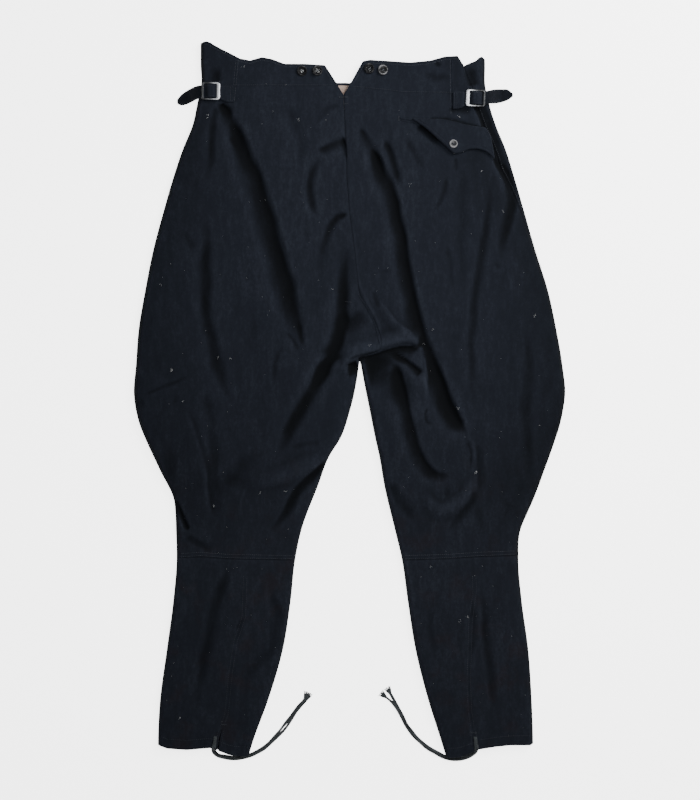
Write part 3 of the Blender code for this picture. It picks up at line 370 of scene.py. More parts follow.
# Sum of folds: depth times (1 - (distance / reach)^2)^2, where distance is measured to
# the fold's route after a small drift of the point, and reach differs on its two sides
# and, broad folds apart, narrows towards both ends, where the depth fades
def foldDepth(x, y, folds=mainFolds + fineFolds):
    narrow, slimmest = folding["narrow"], folding["slimmest"]
    flatX, flatY = ((value + folding["drift"] * swell(x, y, folding["driftCell"], seed)).ravel()
                    for value, seed in zip((x, y), folding["driftSeeds"]))
    total = np.zeros(flatX.shape)
    for name, route, reachMinus, reachPlus, depth, fadeIn, fadeOut in folds:
        line = routePoints(route, folding["samples"])
        widest = max(reachMinus, reachPlus)
        low, high = line.min(axis=0) - widest, line.max(axis=0) + widest
        near = np.nonzero((flatX > low[0]) & (flatX < high[0])
                          & (flatY > low[1]) & (flatY < high[1]))[0]
        if not len(near):
            continue
        run = np.diff(line, axis=0)
        long = norm(run, axis=1)
        dx = flatX[near, None] - line[:-1, 0]
        dy = flatY[near, None] - line[:-1, 1]
        share = np.clip((dx * run[:, 0] + dy * run[:, 1]) / long ** 2, 0, 1)
        awayX, awayY = dx - share * run[:, 0], dy - share * run[:, 1]
        span = awayX ** 2 + awayY ** 2
        best = np.argmin(span, axis=1)
        row = np.arange(len(near))
        distance = np.sqrt(span[row, best])
        across = awayY[row, best] * run[best, 0] - awayX[row, best] * run[best, 1]
        along = (np.cumsum(long) - long)[best] + share[row, best] * long[best]
        length = long.sum()
        fade = ease(along / fadeIn) * ease((length - along) / fadeOut)
        taper = ease(along / min(fadeIn + widest, folding["easeIn"] * length))
        taper = taper * ease((length - along) / min(fadeOut, folding["easeOut"] * length))
        reach = np.where(across > 0, reachPlus, reachMinus)
        if not name.endswith(folding["broad"]):
            reach = np.maximum(reach * (narrow + (1 - narrow) * taper ** 0.5),
                               np.minimum(reach, slimmest))
        total[near] += depth * fade * (1 - np.clip(distance / reach, 0, 1) ** 2) ** 2
    return total.reshape(x.shape)


# Unevenness of worn wool: the sum of its swells
def clothSwell(x, y):
    return sum(height * swell(x, y, cell, swellSeed + k, stretch)
               for k, (cell, height, stretch) in enumerate(swells))


# Share of the rise at the nearer round edge; the inner edge counts where the legs are split
def riseShare(outer, inner, split):
    return np.minimum(roundShare(outer), 1 - split + split * roundShare(inner))


# Height of the back: edge height + the rise of the round edges + the puff, + swells less
# folds (dying out towards the edges), and never lower than the front allows
def backHeight(side, x, y, folds=None):
    outer, inner = edgeDistances(side, x, y)
    split = splitShare(y)
    rise = riseShare(outer, inner, split)
    reach = form["crownReach"]
    near = np.clip(np.minimum(outer, inner + (1 - split) * reach), 0, reach)
    crown = smoothThrough(form["thickness"], 2, y) * (1 - (1 - near / reach) ** 2)
    edge = edgeHeight(y)
    folds = foldDepth(x, y) if folds is None else folds
    height = edge + (garmentTop(y) - edge) * rise + crown
    height = height + (clothSwell(x, y) - folds) * ease(near / form["foldFade"])
    lowest = edge + (form["lowestTop"] - edge) * rise
    soft = form["softness"]
    return lowest + soft * np.logaddexp(0, (height - lowest) / soft)


# Height of the front's outer skin: flat on the floor, turned up at the round edges
def underHeight(side, x, y):
    return edgeHeight(y) * (1 - riseShare(*edgeDistances(side, x, y), splitShare(y)))


# A node's output that can be used in sums, on either side of a number: each operator adds
# one Math node
class Tone:
    def __init__(self, finish, socket):
        self.finish = finish
        self.socket = socket

    def math(self, operation, a, b):
        return self.finish.node("ShaderNodeMath", {"operation": operation}, {0: a, 1: b})

    def __add__(self, other):
        return self.math("ADD", self, other)

    def __sub__(self, other):
        return self.math("SUBTRACT", self, other)

    def __mul__(self, other):
        return self.math("MULTIPLY", self, other)

    def __rsub__(self, other):
        return self.math("SUBTRACT", other, self)

    __radd__, __rmul__ = __add__, __mul__


# A Principled material and the few nodes that its patterns are made of
class Finish:
    def __init__(self, name, **constants):
        self.material = bpy.data.materials.new(name)
        self.material.use_nodes = True
        self.tree = self.material.node_tree
        self.shader = self.tree.nodes["Principled BSDF"]
        for key, value in constants.items():
            self.shader.inputs[key.replace("_", " ")].default_value = value

    # Settings come first, then values or links for the sockets named or numbered
    def node(self, kind, settings, values, output=0):
        made = self.tree.nodes.new(kind)
        for key, value in settings.items():
            setattr(made, key, value)
        for key, value in values.items():
            if isinstance(value, Tone):
                self.tree.links.new(value.socket, made.inputs[key])
            else:
                made.inputs[key].default_value = value
        return Tone(self, made.outputs[output])

    # Object coordinates, so that a pattern stays where the piece lies
    def place(self):
        return self.node("ShaderNodeTexCoord", {}, {}, "Object")

    # Noise of a cell in millimetres, drawn out along the axes whose stretch is below 1
    def noise(self, cell, detail=3.0, stretch=(1, 1, 1)):
        spread = self.node("ShaderNodeMapping", {}, {"Vector": self.place(), "Scale": stretch})
        return self.node("ShaderNodeTexNoise", {}, {"Vector": spread, "Scale": 1 / (cell * mm),
                                                    "Detail": detail, "Roughness": 0.55})

    # Bands a distance apart, from a wave texture that repeats every 0.314 m at scale 1
    def waves(self, at, apart, way, **values):
        values = {key.replace("_", " "): value for key, value in values.items()}
        return self.node("ShaderNodeTexWave", {"bands_direction": way},
                         {"Vector": at, "Scale": 0.314 / (apart * mm), **values}, 1)

    # From low to high of a value, eased to 0 and 1
    def step(self, value, low, high):
        return self.node("ShaderNodeMapRange", {"interpolation_type": "SMOOTHSTEP"},
                         {"Value": value, "From Min": low, "From Max": high})

    # What addPiece has stored at the points of a mesh
    def stored(self, name):
        return self.node("ShaderNodeAttribute", {"attribute_name": name}, {}, "Fac")

    # a (1 - share) + b share, of colours
    def blend(self, share, a, b):
        a, b = (value if isinstance(value, Tone) else (*value, 1) for value in (a, b))
        return self.node("ShaderNodeMix", {"data_type": "RGBA"}, {0: share, 6: a, 7: b}, 2)

    # Links to the shader's sockets, named with _ for a space
    def feed(self, **links):
        for key, value in links.items():
            self.tree.links.new(value.socket, self.shader.inputs[key.replace("_", " ")])

    # Relief as deep as distance in millimetres where the height is 1
    def bump(self, height, distance, strength=1.0):
        relief = self.node("ShaderNodeBump", {}, {"Height": height, "Distance": distance * mm,
                                                  "Strength": strength})
        self.feed(Normal=relief)


looks = {
    "wool": {
        # the pale colour carries wear and painted light, the darkest colour painted shade in the
        # creases
        "upper": (0.0061, 0.0076, 0.0116), "lower": (0.0056, 0.0069, 0.0103),
        "paleWithPaintedLight": (0.0148, 0.0178, 0.0256), "paintedShade": (0.0012, 0.0016, 0.0023),
        "rust": (0.0095, 0.0062, 0.0074),
        # each mottle: cell, detail, how it is stretched, weight
        "cloud": (60.0, 2.0, (1, 0.6, 1), 0.6), "clump": (4.0, 3.0, (1, 0.7, 1), 1.0),
        "nap": (0.9, 4.0, (1, 1, 1), 1.3), "streak": (7.0, 3.0, (1, 0.28, 1), 1.1),
        "lowerFrom": (-0.30, 0.02),         # heights in metres between the two body colours
        "rustFrom": (0.0, -0.3), "rustCell": 34.0, "rustStep": (0.5, 0.72), "rustShare": 0.35,
        "paleMottle": 0.8, "paintedLightShare": 0.5, "paleStep": (-0.15, 1.0),
        "paintedShadeMottle": 0.3, "paintedShadeStep": (0.1, -0.95),
        "rib": 1.1, "ribTurn": 27.0,        # spacing and turn of the twill's ribs
        "relief": (0.6, 0.5, 0.22), "depth": 0.5, "strength": 0.8,      # of nap, clumps, ribs
    },
    "lining": {"clean": (0.30, 0.225, 0.185), "soiled": (0.24, 0.165, 0.145),
               "yarn": (0.36, 0.29, 0.25), "yarnShare": 0.25, "soil": 14.0,
               "soilStep": (0.42, 0.75), "weave": 0.7, "depth": 0.12},
    "metal": {"tarnished": (0.030, 0.031, 0.033), "bright": (0.36, 0.37, 0.39),
              "scratch": 0.5, "dull": 3.0, "dullStep": (0.35, 0.75), "dullWear": 0.25,
              "rough": 0.28, "dullRough": 0.2, "scratchRough": 0.1, "depth": 0.03},
    "horn": {"dark": (0.0035, 0.0037, 0.0045), "bright": (0.15, 0.15, 0.155),
             "streak": 2.2, "streakWear": 1.4, "highlightStep": (0.15, 1.0),
             "rough": 0.42, "streakRough": 0.2, "coat": 0.02, "depth": 0.08},
    "cord": {"tone": 2.0, "toneStep": (0.35, 0.7), "toneShare": 0.7, "ridgeShare": 0.15,
             "fuzz": 0.6, "ridgeRelief": 0.5, "fuzzRelief": 0.5},
    # dark and pale colour, spacing of the ribs, depth of their relief
    "tape": ((0.010, 0.013, 0.015), (0.036, 0.043, 0.046), 0.9, 0.25),
    "thread": ((0.012, 0.014, 0.020), (0.060, 0.068, 0.082), 0.7, 0.1),
    "darkThread": ((0.010, 0.012, 0.017), (0.026, 0.030, 0.040), 0.7, 0.1),
    "lint": ((0.30, 0.31, 0.32), (0.62, 0.62, 0.60), 0.8, 0.1),
}


# Fulled wool: nap and clumps over a faint twill, paled on the ridges by wear and painted light,
# darkened by painted shade in the creases, darker on the lower legs with a trace of rust there
def woolFinish():
    look = looks["wool"]
    wool = Finish("wool", Roughness=0.92, Specular_IOR_Level=0.08, Sheen_Weight=0.02,
                  Sheen_Roughness=0.45, Sheen_Tint=(0.55, 0.62, 0.75, 1))
    noise = {key: wool.noise(*look[key][:3]) for key in ("cloud", "clump", "nap", "streak")}
    spot = wool.node("ShaderNodeSeparateXYZ", {}, {0: wool.place()}, "Y")
    body = wool.blend(wool.step(spot, *look["lowerFrom"]), look["lower"], look["upper"])
    rust = wool.step(wool.noise(look["rustCell"], 2.0), *look["rustStep"])
    rust = rust * wool.step(spot, *look["rustFrom"])
    body = wool.blend(rust * look["rustShare"], body, look["rust"])
    # the stored crease mark: painted shade in the hollows and painted light on the ridges, with the
    # painted light and shade of shadeOf
    crease = wool.stored("crease")
    mottle = sum((noise[key] - 0.5) * look[key][3] for key in noise)
    # paler by the wool's own mottle and by painted light from the crease mark
    paleWithPaintedLight = mottle * look["paleMottle"] + crease * look["paintedLightShare"]
    body = wool.blend(wool.step(paleWithPaintedLight, *look["paleStep"]), body, look["paleWithPaintedLight"])
    # painted shade: the darkest colour where the crease mark is low
    paintedShade = mottle * look["paintedShadeMottle"] + crease
    body = wool.blend(wool.step(paintedShade, *look["paintedShadeStep"]), body, look["paintedShade"])
    turn = wool.node("ShaderNodeMapping", {}, {"Vector": wool.place(),
                                               "Rotation": (0, 0, radians(look["ribTurn"]))})
    ribs = wool.waves(turn, look["rib"], "X", Distortion=2.5, Detail=2.0, Detail_Scale=3.0)
    wool.feed(Base_Color=body)
    parts = zip((noise["nap"], noise["clump"], ribs), look["relief"])
    wool.bump(sum(part * height for part, height in parts), look["depth"], look["strength"])
    return wool.material


# Cotton lining: plain weave of two crossed waves, a little soiled
def liningFinish():
    look = looks["lining"]
    cotton = Finish("lining", Roughness=0.85, Specular_IOR_Level=0.3)
    soil = cotton.step(cotton.noise(look["soil"]), *look["soilStep"])
    weft, warp = (cotton.waves(cotton.place(), look["weave"], way, Distortion=0.6)
                  for way in ("X", "Y"))
    tone = cotton.blend(soil, look["clean"], look["soiled"])
    yarn = weft * warp * look["yarnShare"]
    cotton.feed(Base_Color=cotton.blend(yarn, tone, look["yarn"]))
    cotton.bump(weft + warp, look["depth"])
    return cotton.material


# Nickel plate: tarnished dark, bright where the stored wear mark is high, which is rubbed wear and
# a painted reflection, with fine scratches along X
def metalFinish():
    look = looks["metal"]
    nickel = Finish("metal", Metallic=1.0)
    scratch = nickel.noise(look["scratch"], 2.0, (0.15, 1, 1))
    dull = nickel.step(nickel.noise(look["dull"]), *look["dullStep"])
    bright = nickel.step(nickel.stored("wearAndPaintedLight") - dull * look["dullWear"], 0.0, 1.0)
    nickel.feed(Base_Color=nickel.blend(bright, look["tarnished"], look["bright"]),
                Roughness=(look["rough"] + dull * look["dullRough"]
                           + scratch * look["scratchRough"]))
    nickel.bump(scratch, look["depth"])
    return nickel.material


# Dark horn: cloudy streaks under a soft polish, pale where the stored wear mark is high: painted
# highlights on the rim, with some wear
def hornFinish():
    look = looks["horn"]
    horn = Finish("horn", Specular_IOR_Level=0.08, Coat_Roughness=0.15)
    streak = horn.noise(look["streak"], 4.0, (0.5, 1, 1))
    paleWithPaintedLight = horn.stored("wearAndPaintedLight") + (streak - 0.5) * look["streakWear"]
    bright = horn.step(paleWithPaintedLight, *look["highlightStep"])
    horn.feed(Base_Color=horn.blend(bright, look["dark"], look["bright"]),
              Roughness=look["rough"] + streak * look["streakRough"],
              Coat_Weight=bright * look["coat"])
    horn.bump(streak, look["depth"])
    return horn.material


# Woven tape and thread: ribs counted along the piece's own run
def corded(name):
    look, (dark, pale, rib, depth) = looks["cord"], looks[name]
    cord = Finish(name, Roughness=0.85, Specular_IOR_Level=0.35)
    ridge = cord.node("ShaderNodeMath", {"operation": "SINE"},
                      {0: cord.stored("run") * (2 * pi / rib)})
    tone = cord.step(cord.noise(look["tone"]), *look["toneStep"])
    share = tone * look["toneShare"] + ridge * look["ridgeShare"]
    cord.feed(Base_Color=cord.blend(share, dark, pale))
    fuzz = cord.noise(look["fuzz"])
    cord.bump(ridge * look["ridgeRelief"] + fuzz * look["fuzzRelief"], depth)
    return cord.material


finishes = {"wool": woolFinish(), "lining": liningFinish(), "metal": metalFinish(),
            "horn": hornFinish()}
finishes.update((name, corded(name)) for name in ("tape", "thread", "darkThread", "lint"))
# Finishes that are no slot of their own, and the slot each belongs to
slots = {"thread": "wool", "darkThread": "wool", "lint": "lining"}
print("breeches: finishes made,", len(finishes))


# Six times the signed volume under a block of faces: v0 . (v1 x v2), fanned over each face
def turned(points, block):
    corner = points[block]
    return sum(np.einsum("ij,ij->", corner[:, 0], np.cross(corner[:, k], corner[:, k + 1]))
               for k in range(1, block.shape[1] - 1))


# One closed piece from points in millimetres and blocks of faces, faces turned outwards,
# in the place of a node if one is named
def addPiece(name, points, blocks, finish, node=None, **stored):
    if sum(turned(points, block) for block in blocks) < 0:
        blocks = [block[:, ::-1] for block in blocks]
    mesh = bpy.data.meshes.new(name)
    faces = [face for block in blocks for face in block.tolist()]
    mesh.from_pydata((points * mm).tolist(), [], faces)
    mesh.shade_smooth()
    mesh.materials.append(finishes[finish])
    for key, values in stored.items():
        layer = mesh.attributes.new(key, "FLOAT", "POINT")
        layer.data.foreach_set("value", np.ascontiguousarray(values, np.float32).ravel())
    piece = bpy.data.objects.new(name, mesh)
    bpy.context.scene.collection.objects.link(piece)
    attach(piece, "root")
    slots.get(finish, finish)
    if node:
        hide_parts(node)
    return piece


# Quads of a grid of points numbered row by row
def gridQuads(rows, columns):
    i, j = np.meshgrid(np.arange(rows - 1), np.arange(columns - 1), indexing="ij")
    a = (i * columns + j).ravel()
    return np.stack((a, a + 1, a + columns + 1, a + columns), axis=1)


# Unit normals of a grid of points: the cross product of its two gradients
def gridNormals(grid):
    normal = np.cross(np.gradient(grid, axis=1), np.gradient(grid, axis=0))
    return normal / np.maximum(norm(normal, axis=2), 1e-9)[..., None]


# Widths of blur, and how far the height then has to stand proud to count as 1
creaseScales = ((7.0, 2.6), (18.0, 11.0))


# How far the height stands proud of its blurred neighbourhood: the sum of proud / full
def creaseOf(height, step):
    total, soft, done = 0, height, 0
    for width, full in creaseScales:
        passes = round(2 * (width / step) ** 2)
        for _ in range(passes - done):
            wide = np.pad(soft, 1, "edge")
            wide = (wide[:-2] + 2 * wide[1:-1] + wide[2:]) / 4
            soft = (wide[:, :-2] + 2 * wide[:, 1:-1] + wide[:, 2:]) / 4
        total, done = total + (height - soft) / full, passes
    return total


# The cut of a laid sheet, from the grid of its outer skin: its longest row and column,
# and the sum of its cells
def declareSheet(grid):
    across, down = np.diff(grid, axis=1), np.diff(grid, axis=0)
    width = norm(across, axis=2).sum(axis=1).max()
    length = norm(down, axis=2).sum(axis=0).max()
    area = norm(np.cross(across[:-1], down[:, :-1]), axis=2).sum()


# A laid cloth with a wall, from the grid of its outer skin: the inner skin is each point less
# the wall times its normal, and a middle ring pushed outwards rounds the rim between them
def layCloth(name, grid, node, outward, finish="wool", wall=None, bulge=0.35,
             step=2.5, shade=0):
    wall = wall or form["cloth"]
    normal = gridNormals(grid) * outward
    inner = grid - normal * wall
    rows, columns = grid.shape[:2]
    index = np.arange(rows * columns).reshape(rows, columns)
    rim = np.concatenate((index[0, :-1], index[:-1, -1], index[-1, :0:-1], index[:0:-1, 0]))
    inside = np.concatenate((index[1, :-1], index[:-1, -2], index[-2, :0:-1], index[:0:-1, 1]))
    flat, flatInner = grid.reshape(-1, 3), inner.reshape(-1, 3)
    away = flat[rim] - flat[inside]
    away /= np.maximum(norm(away, axis=1), 1e-9)[:, None]
    middle = (flat[rim] + flatInner[rim]) / 2 + away * wall * bulge
    count = rows * columns
    after = np.roll(rim, -1)
    ring = 2 * count + np.arange(len(rim))
    ringAfter = np.roll(ring, -1)
    quads = gridQuads(rows, columns)
    blocks = [quads, quads[:, ::-1] + count,
              np.stack((after, rim, ring, ringAfter), axis=1),
              np.stack((ringAfter, ring, rim + count, after + count), axis=1)]
    # the crease mark: painted shade in the hollows and painted light on the ridges, from how proud
    # the height stands, plus the painted light and shade given as shade
    crease = np.tanh(creaseOf(grid[..., 2], step) + shade)
    crease = np.concatenate((crease.ravel(), np.zeros(count + len(rim))))
    points = np.concatenate((flat, flatInner, middle))
    piece = addPiece(name, points, blocks, finish, node, crease=crease)
    declareSheet(grid)


# Length of a path, and the distance run along it at each of its points
def lengthOf(path):
    return norm(np.diff(path, axis=0), axis=1).sum()


def runAlong(path):
    return np.concatenate(([0], np.cumsum(norm(np.diff(path, axis=0), axis=1))))


# Skin over rings of points (rings, around, 3), with a fan at each end or, for a loop,
# carried on from the last ring to the first; the wear value, stored for wool as its crease mark
# instead, carries wear together with painted light and shade
def ringSkin(name, rings, finish, node=None, loop=False, wearAndPaintedLight=0):
    count, around = rings.shape[:2]
    wearAndPaintedLight = np.broadcast_to(wearAndPaintedLight, (count, around)).ravel()
    k, j = np.divmod(np.arange((count if loop else count - 1) * around), around)
    here, there, after = k * around, (k + 1) % count * around, (j + 1) % around
    blocks = [np.stack((here + j, here + after, there + after, there + j), axis=1)]
    points = rings.reshape(-1, 3)
    run = np.repeat(runAlong(rings.mean(axis=1)), around)
    if not loop:
        j = np.arange(around)
        first, last = len(points), len(points) + 1
        blocks.append(np.stack((np.full(around, first), (j + 1) % around, j), axis=1))
        tail = (count - 1) * around
        blocks.append(np.stack((np.full(around, last), tail + j, tail + (j + 1) % around), axis=1))
        points = np.concatenate((points, [rings[0].mean(axis=0), rings[-1].mean(axis=0)]))
        run = np.concatenate((run, [run[0], run[-1]]))
        wearAndPaintedLight = np.concatenate((wearAndPaintedLight, wearAndPaintedLight[[0, -1]]))
    kept = "crease" if finish == "wool" else "wearAndPaintedLight"
    return addPiece(name, points, blocks, finish, node, run=run, **{kept: wearAndPaintedLight})


# One small closed bead, 2 long and 2 across before it is scaled: three rings, given by
# place along and half width, and two tips
beadSides, beadRings = 6, ((-0.8, 0.6), (0, 1), (0.8, 0.6))
beadAngle = np.linspace(0, 2 * pi, beadSides, endpoint=False)
beadRing = np.stack((0 * beadAngle, np.cos(beadAngle), np.sin(beadAngle)), axis=1)
beadPoints = np.concatenate([beadRing * wide + (at, 0, 0) for at, wide in beadRings]
                            + [[(-1, 0, 0)], [(1, 0, 0)]])
beadPairs = [(j, (j + 1) % beadSides) for j in range(beadSides)]
beadQuads = np.array([(row + j, row + after, row + beadSides + after, row + beadSides + j)
                      for row in (0, beadSides) for j, after in beadPairs])
beadTip, beadLast = 3 * beadSides, 2 * beadSides
beadTips = np.array([(beadTip, after, j) for j, after in beadPairs]
                    + [(beadTip + 1, beadLast + j, beadLast + after) for j, after in beadPairs])


# Many beads in one piece: centres, unit directions, and half sizes along, across and up
def beads(name, places, along, sizes, finish):
    across = np.cross((0, 0, 1), along)
    across /= np.maximum(norm(across, axis=1), 1e-9)[:, None]
    up = np.cross(along, across)
    axes = np.stack((along, across, up), axis=1)
    axes = axes * np.broadcast_to(sizes, places.shape)[:, :, None]
    points = places[:, None] + np.einsum("kp,npd->nkd", beadPoints, axes)
    shift = (np.arange(len(places)) * len(beadPoints))[:, None, None]
    blocks = [(beadQuads + shift).reshape(-1, 4), (beadTips + shift).reshape(-1, 3)]
    run = np.tile(beadPoints[:, 0], len(places))
    return addPiece(name, points.reshape(-1, 3), blocks, finish, run=run)


rimSteps = np.array((0, 0.35, 0.9, 1.7, 2.8, 4.2, 5.8))     # distances of rows from a border


# Positions from 0 to 1 along a length, close together at each end, then evenly spaced
def spread(length, step):
    last = rimSteps[-1]
    count = max(2, round((length - 2 * last) / step))
    middle = np.linspace(last, length - last, count + 1)[1:-1]
    return np.concatenate((rimSteps, middle, (length - rimSteps)[::-1])) / length


# Sink of a pressed seam: dip (1 - d / seamReach)^2 at the distance d from it
def seamSink(distance, dip="seamDip"):
    return form[dip] * np.clip(1 - distance / form["seamReach"], 0, 1) ** 2


# Grids of the panels: width and length they are laid out for, and their step
panels = {"back": (300, 705, 2.5), "band": (205, 45, 1.4), "front": (330, 720, 3.0),
          "calf": (112, 285, 2.3)}
# Shares across a wrapped piece at which it has points: near its border, evenly in the
# middle, near the edge it turns round
wraps = {
    "frontUnder": ((0, 0.002, 0.005, 0.01, 0.018, 0.028), (0.06, 0.94, 12),
                   (0.968, 0.98, 0.988, 0.994, 0.998)),
    "frontOver": ((0.02, 0.06, 0.12, 0.2), (0.3, 0.9, 7), (0.96, 1)),
    "calfUnder": ((0, 0.03, 0.07), (0.14, 0.86, 9), (0.91, 0.945, 0.97, 0.985, 0.995)),
}
shading = {
    "trough": 9.3, "edge": 0.5, "edgeReach": 9.0, "side": (0.20, 0.31), "sideReach": 130.0,
    "calfSide": 0.4, "thighSide": 0.6, "hipSide": 0.5, "hip": 190.0, "hipReach": 140.0,
    "seat": 0.2, "seatMiddle": -50.0, "seatReach": 160.0, "seatFoot": 60.0, "seatRise": 300.0,
}


# Painted light and shade on the wool besides its own relief: painted shade by depth of fold /
# trough, by edge * ease(1 - distance / edgeReach) at the round edges and by side * ease(1 -
# distance / sideReach) towards the outer side; painted light and shade by height, and painted light
# on the seat towards the middle
def shadeOf(side, x, y, folds):
    outer, inner = edgeDistances(side, x, y)
    near = np.minimum(outer, inner + (1 - splitShare(y)) * shading["edgeReach"])
    thigh = (shading["calfSide"]
             + shading["thighSide"] * ease((y - form["knee"]) / shading["sideReach"])
             + shading["hipSide"] * ease((y - shading["hip"]) / shading["hipReach"]))
    paleWithPaintedLight = straightThrough(form["paintedLightByHeight"], y)
    paleWithPaintedLight = paleWithPaintedLight + (shading["seat"] * ease((y - shading["seatFoot"]) / shading["seatRise"])
                   * ease(1 - np.abs(x - shading["seatMiddle"]) / shading["seatReach"]))
    paleWithPaintedLight = paleWithPaintedLight - shading["side"][side > 0] * ease(1 - outer / shading["sideReach"]) * thigh
    paleWithPaintedLight = paleWithPaintedLight - folds / shading["trough"]
    return paleWithPaintedLight - shading["edge"] * ease(1 - near / shading["edgeReach"])


# Shares across and down at which a panel's grid has points
def gridShares(key):
    width, length, step = panels[key]
    return spread(width, step), spread(length, step)[:, None]


# Shares across a wrapped piece
def wrapShares(key):
    near, even, far = wraps[key]
    return np.concatenate((near, np.linspace(*even), far))


# A piece of the back from the side seam to an edge given as a function of side and height,
# its seams pressed: seams names the borders that are sewn and the dip of each
def backPiece(name, node, side, shares, heights, endEdge, seams, step, legEnd=False):
    gap = form["seamGap"] / 2
    start = sideSeamX(side, heights) - side * gap
    end = endEdge(side, heights)
    if legEnd:
        end = end + side * gap * (1 - splitShare(heights))
    x = start + (end - start) * shares
    folds = foldDepth(x, heights)
    z = backHeight(side, x, heights, folds)
    border = {"start": np.abs(x - x[:, :1]), "end": np.abs(x - x[:, -1:]),
              "top": np.abs(heights - heights[:1]), "foot": np.abs(heights - heights[-1:])}
    for seam, dip in seams.items():
        z = z - seamSink(border[seam], dip)
    if legEnd:
        z[:, -1] += 2 * gap * splitShare(heights[:, -1])
    grid = np.dstack((x, heights, z))
    layCloth(name, grid, node, side,
             step=step, shade=shadeOf(side, x, heights, folds))


# The thigh panel and the waistband piece of each leg
def makeBacks():
    for word, side in legs:
        columns, rows = gridShares("back")
        start, low = sideSeamX(side, form["waistAt"]), sideSeamX(side, form["knee"])
        waist = straightThrough(form["waistSeam"],
                                start + (form["seatSeam"][0][1] - start) * columns)
        knee = straightThrough(form["kneeSeam"][side],
                               low + (innerX(side, form["knee"]) - low) * columns)
        heights = waist + (knee + form["seamGap"] - waist) * rows
        backPiece("seatPanel_" + word, "back_" + word, side, columns, heights, innerX,
                  {"start": "seamDip", "end": "seamDip", "foot": "seamDip",
                   "top": "flatSeamDip"}, panels["back"][2], legEnd=True)
        columns, rows = gridShares("band")
        (_, foot), (_, top) = form["notchSides"][side][0], form["notchSides"][side][-1]
        high = sideSeamX(side, form["bandAt"])
        edge = straightThrough(form["waistEdge"], high + (top - high) * columns)
        line = straightThrough(form["waistSeam"], start + (foot - start) * columns)
        heights = edge + (line + form["seamGap"] - edge) * rows
        backPiece("backWaistband_" + word, "back_waistband_" + word, side, columns, heights,
                  notchX, {"start": "seamDip", "foot": "flatSeamDip"}, panels["band"][2])


# A front or a calf piece: starts on the underside at underFrom, turns round the edge that
# lies its way out, and ends on the back at overTo
def wrappedPiece(name, node, side, edge, way, heights, underFrom, overTo, under, over, step,
                 legStart=False, kneeSeam=False, dip="seamDip"):
    edgeX = edge(side, heights)
    shares = np.concatenate((under, (0,), over))
    turn = len(under)
    below = np.arange(len(shares)) <= turn
    low, high = underFrom(heights), overTo(heights) + way * form["seamGap"] / 2
    x = edgeX + (np.where(below, low, high) - edgeX) * shares
    folds = foldDepth(x, heights)
    z = np.where(below, underHeight(side, x, heights), backHeight(side, x, heights, folds))
    z[:, turn] = edgeHeight(heights[:, turn])
    sink = seamSink(np.abs(x - x[:, -1:]), dip)
    if kneeSeam:
        sink = np.maximum(sink, seamSink(np.abs(heights - heights[:1])))
    z = z - np.where(below, 0, sink)
    if legStart:
        z[:, 0] -= form["seamGap"] / 2 * splitShare(heights[:, 0])
    grid = np.dstack((x, heights, z))
    # painted light and shade on the upper side: shadeOf and the relief, none underneath
    upper = np.where(below, z[:, turn + 1:turn + 2], z)
    shade = np.where(below, 0, shadeOf(side, x, heights, folds) - creaseOf(z, step))
    shade = shade + np.where(below, 0, creaseOf(upper, step))
    layCloth(name, grid, node, way, step=step, shade=shade)


fly = {"width": 34.0, "waist": 475.0, "foot": 90.0, "curve": 120.0, "lowest": 110.0,
       "rows": 120, "columns": 9}


# Width of the fly: it narrows to nothing in a curve at its foot
def flyWidth(y):
    return fly["width"] * ease((y - fly["foot"]) / fly["curve"])


# Middle line of the front, straight from the crotch to the waist
def centreFrontX(y):
    return np.interp(y, (form["crotch"], fly["waist"]), (form["legGap"][0][1], 0))


# Where a front starts: at the middle line or the fly above the crotch, at the leg below it
def frontStartX(side, y):
    middle = centreFrontX(y) + side * form["seamGap"] / 2 - flyWidth(y) * (side < 0)
    return np.where(y > form["crotch"], middle, innerX(side, y))


# Both fronts and the fly between them
def makeFronts():
    under, over = 1 - wrapShares("frontUnder"), wrapShares("frontOver")
    shares = np.concatenate((under, (0,), 0 * over))
    seamIn = form["sideSeamIn"][0][1]
    for word, side in legs:
        start, low = outerX(side, form["bandAt"]), outerX(side, form["knee"])
        top = straightThrough(form["frontEdge"], start * (1 - shares))
        top[-len(over):] = straightThrough(form["frontEdge"],
                                           start - side * seamIn * over * (side > 0))
        foot = straightThrough(form["kneeSeam"][side],
                               low + (innerX(side, form["knee"]) - low) * shares)
        heights = top + (foot + form["seamGap"] - top) * gridShares("front")[1]
        wrappedPiece("front_piece_" + word, "front_" + word, side, outerX, side, heights,
                     partial(frontStartX, side), partial(sideSeamX, side), under, over,
                     panels["front"][2], legStart=True)
    y = np.linspace(fly["waist"], fly["lowest"], fly["rows"])[:, None]
    across = np.linspace(1, 0, fly["columns"])
    x = centreFrontX(y) - flyWidth(y) * across
    x = x + form["seamGap"] * (0.5 * across - 0.5 * (1 - across))
    layCloth("flyCover", np.dstack((x, y + 0 * x, 0 * x)), "fly", 1)


# The outer and the inner calf piece of each leg
def makeCalves():
    under, over = 1 - wrapShares("calfUnder"), gridShares("calf")[0][1:]
    shares = np.concatenate((under, (0,), over))
    below = np.arange(len(shares)) <= len(under)
    for word, side in legs:
        for half, column, edge, way in (("outer", 1, outerX, side), ("inner", 2, innerX, -side)):
            shin, calf = partial(shinX, side, way), partial(calfX, side, column)

            # X of every column at a height
            def columnX(y):
                turn = edge(side, y)
                return turn + (np.where(below, shin(y), calf(y)) - turn) * shares

            knee = straightThrough(form["kneeSeam"][side], columnX(form["knee"]))
            hem = straightThrough(form["hem"][side], columnX(form["hemAt"]))
            heights = knee + (hem - knee) * gridShares("calf")[1]
            wrappedPiece("calf_%s_%s_piece" % (word, half), "calf_%s_%s" % (word, half), side,
                         edge, way, heights, shin, calf, under, over, panels["calf"][2],
                         kneeSeam=True, dip="flatSeamDip")


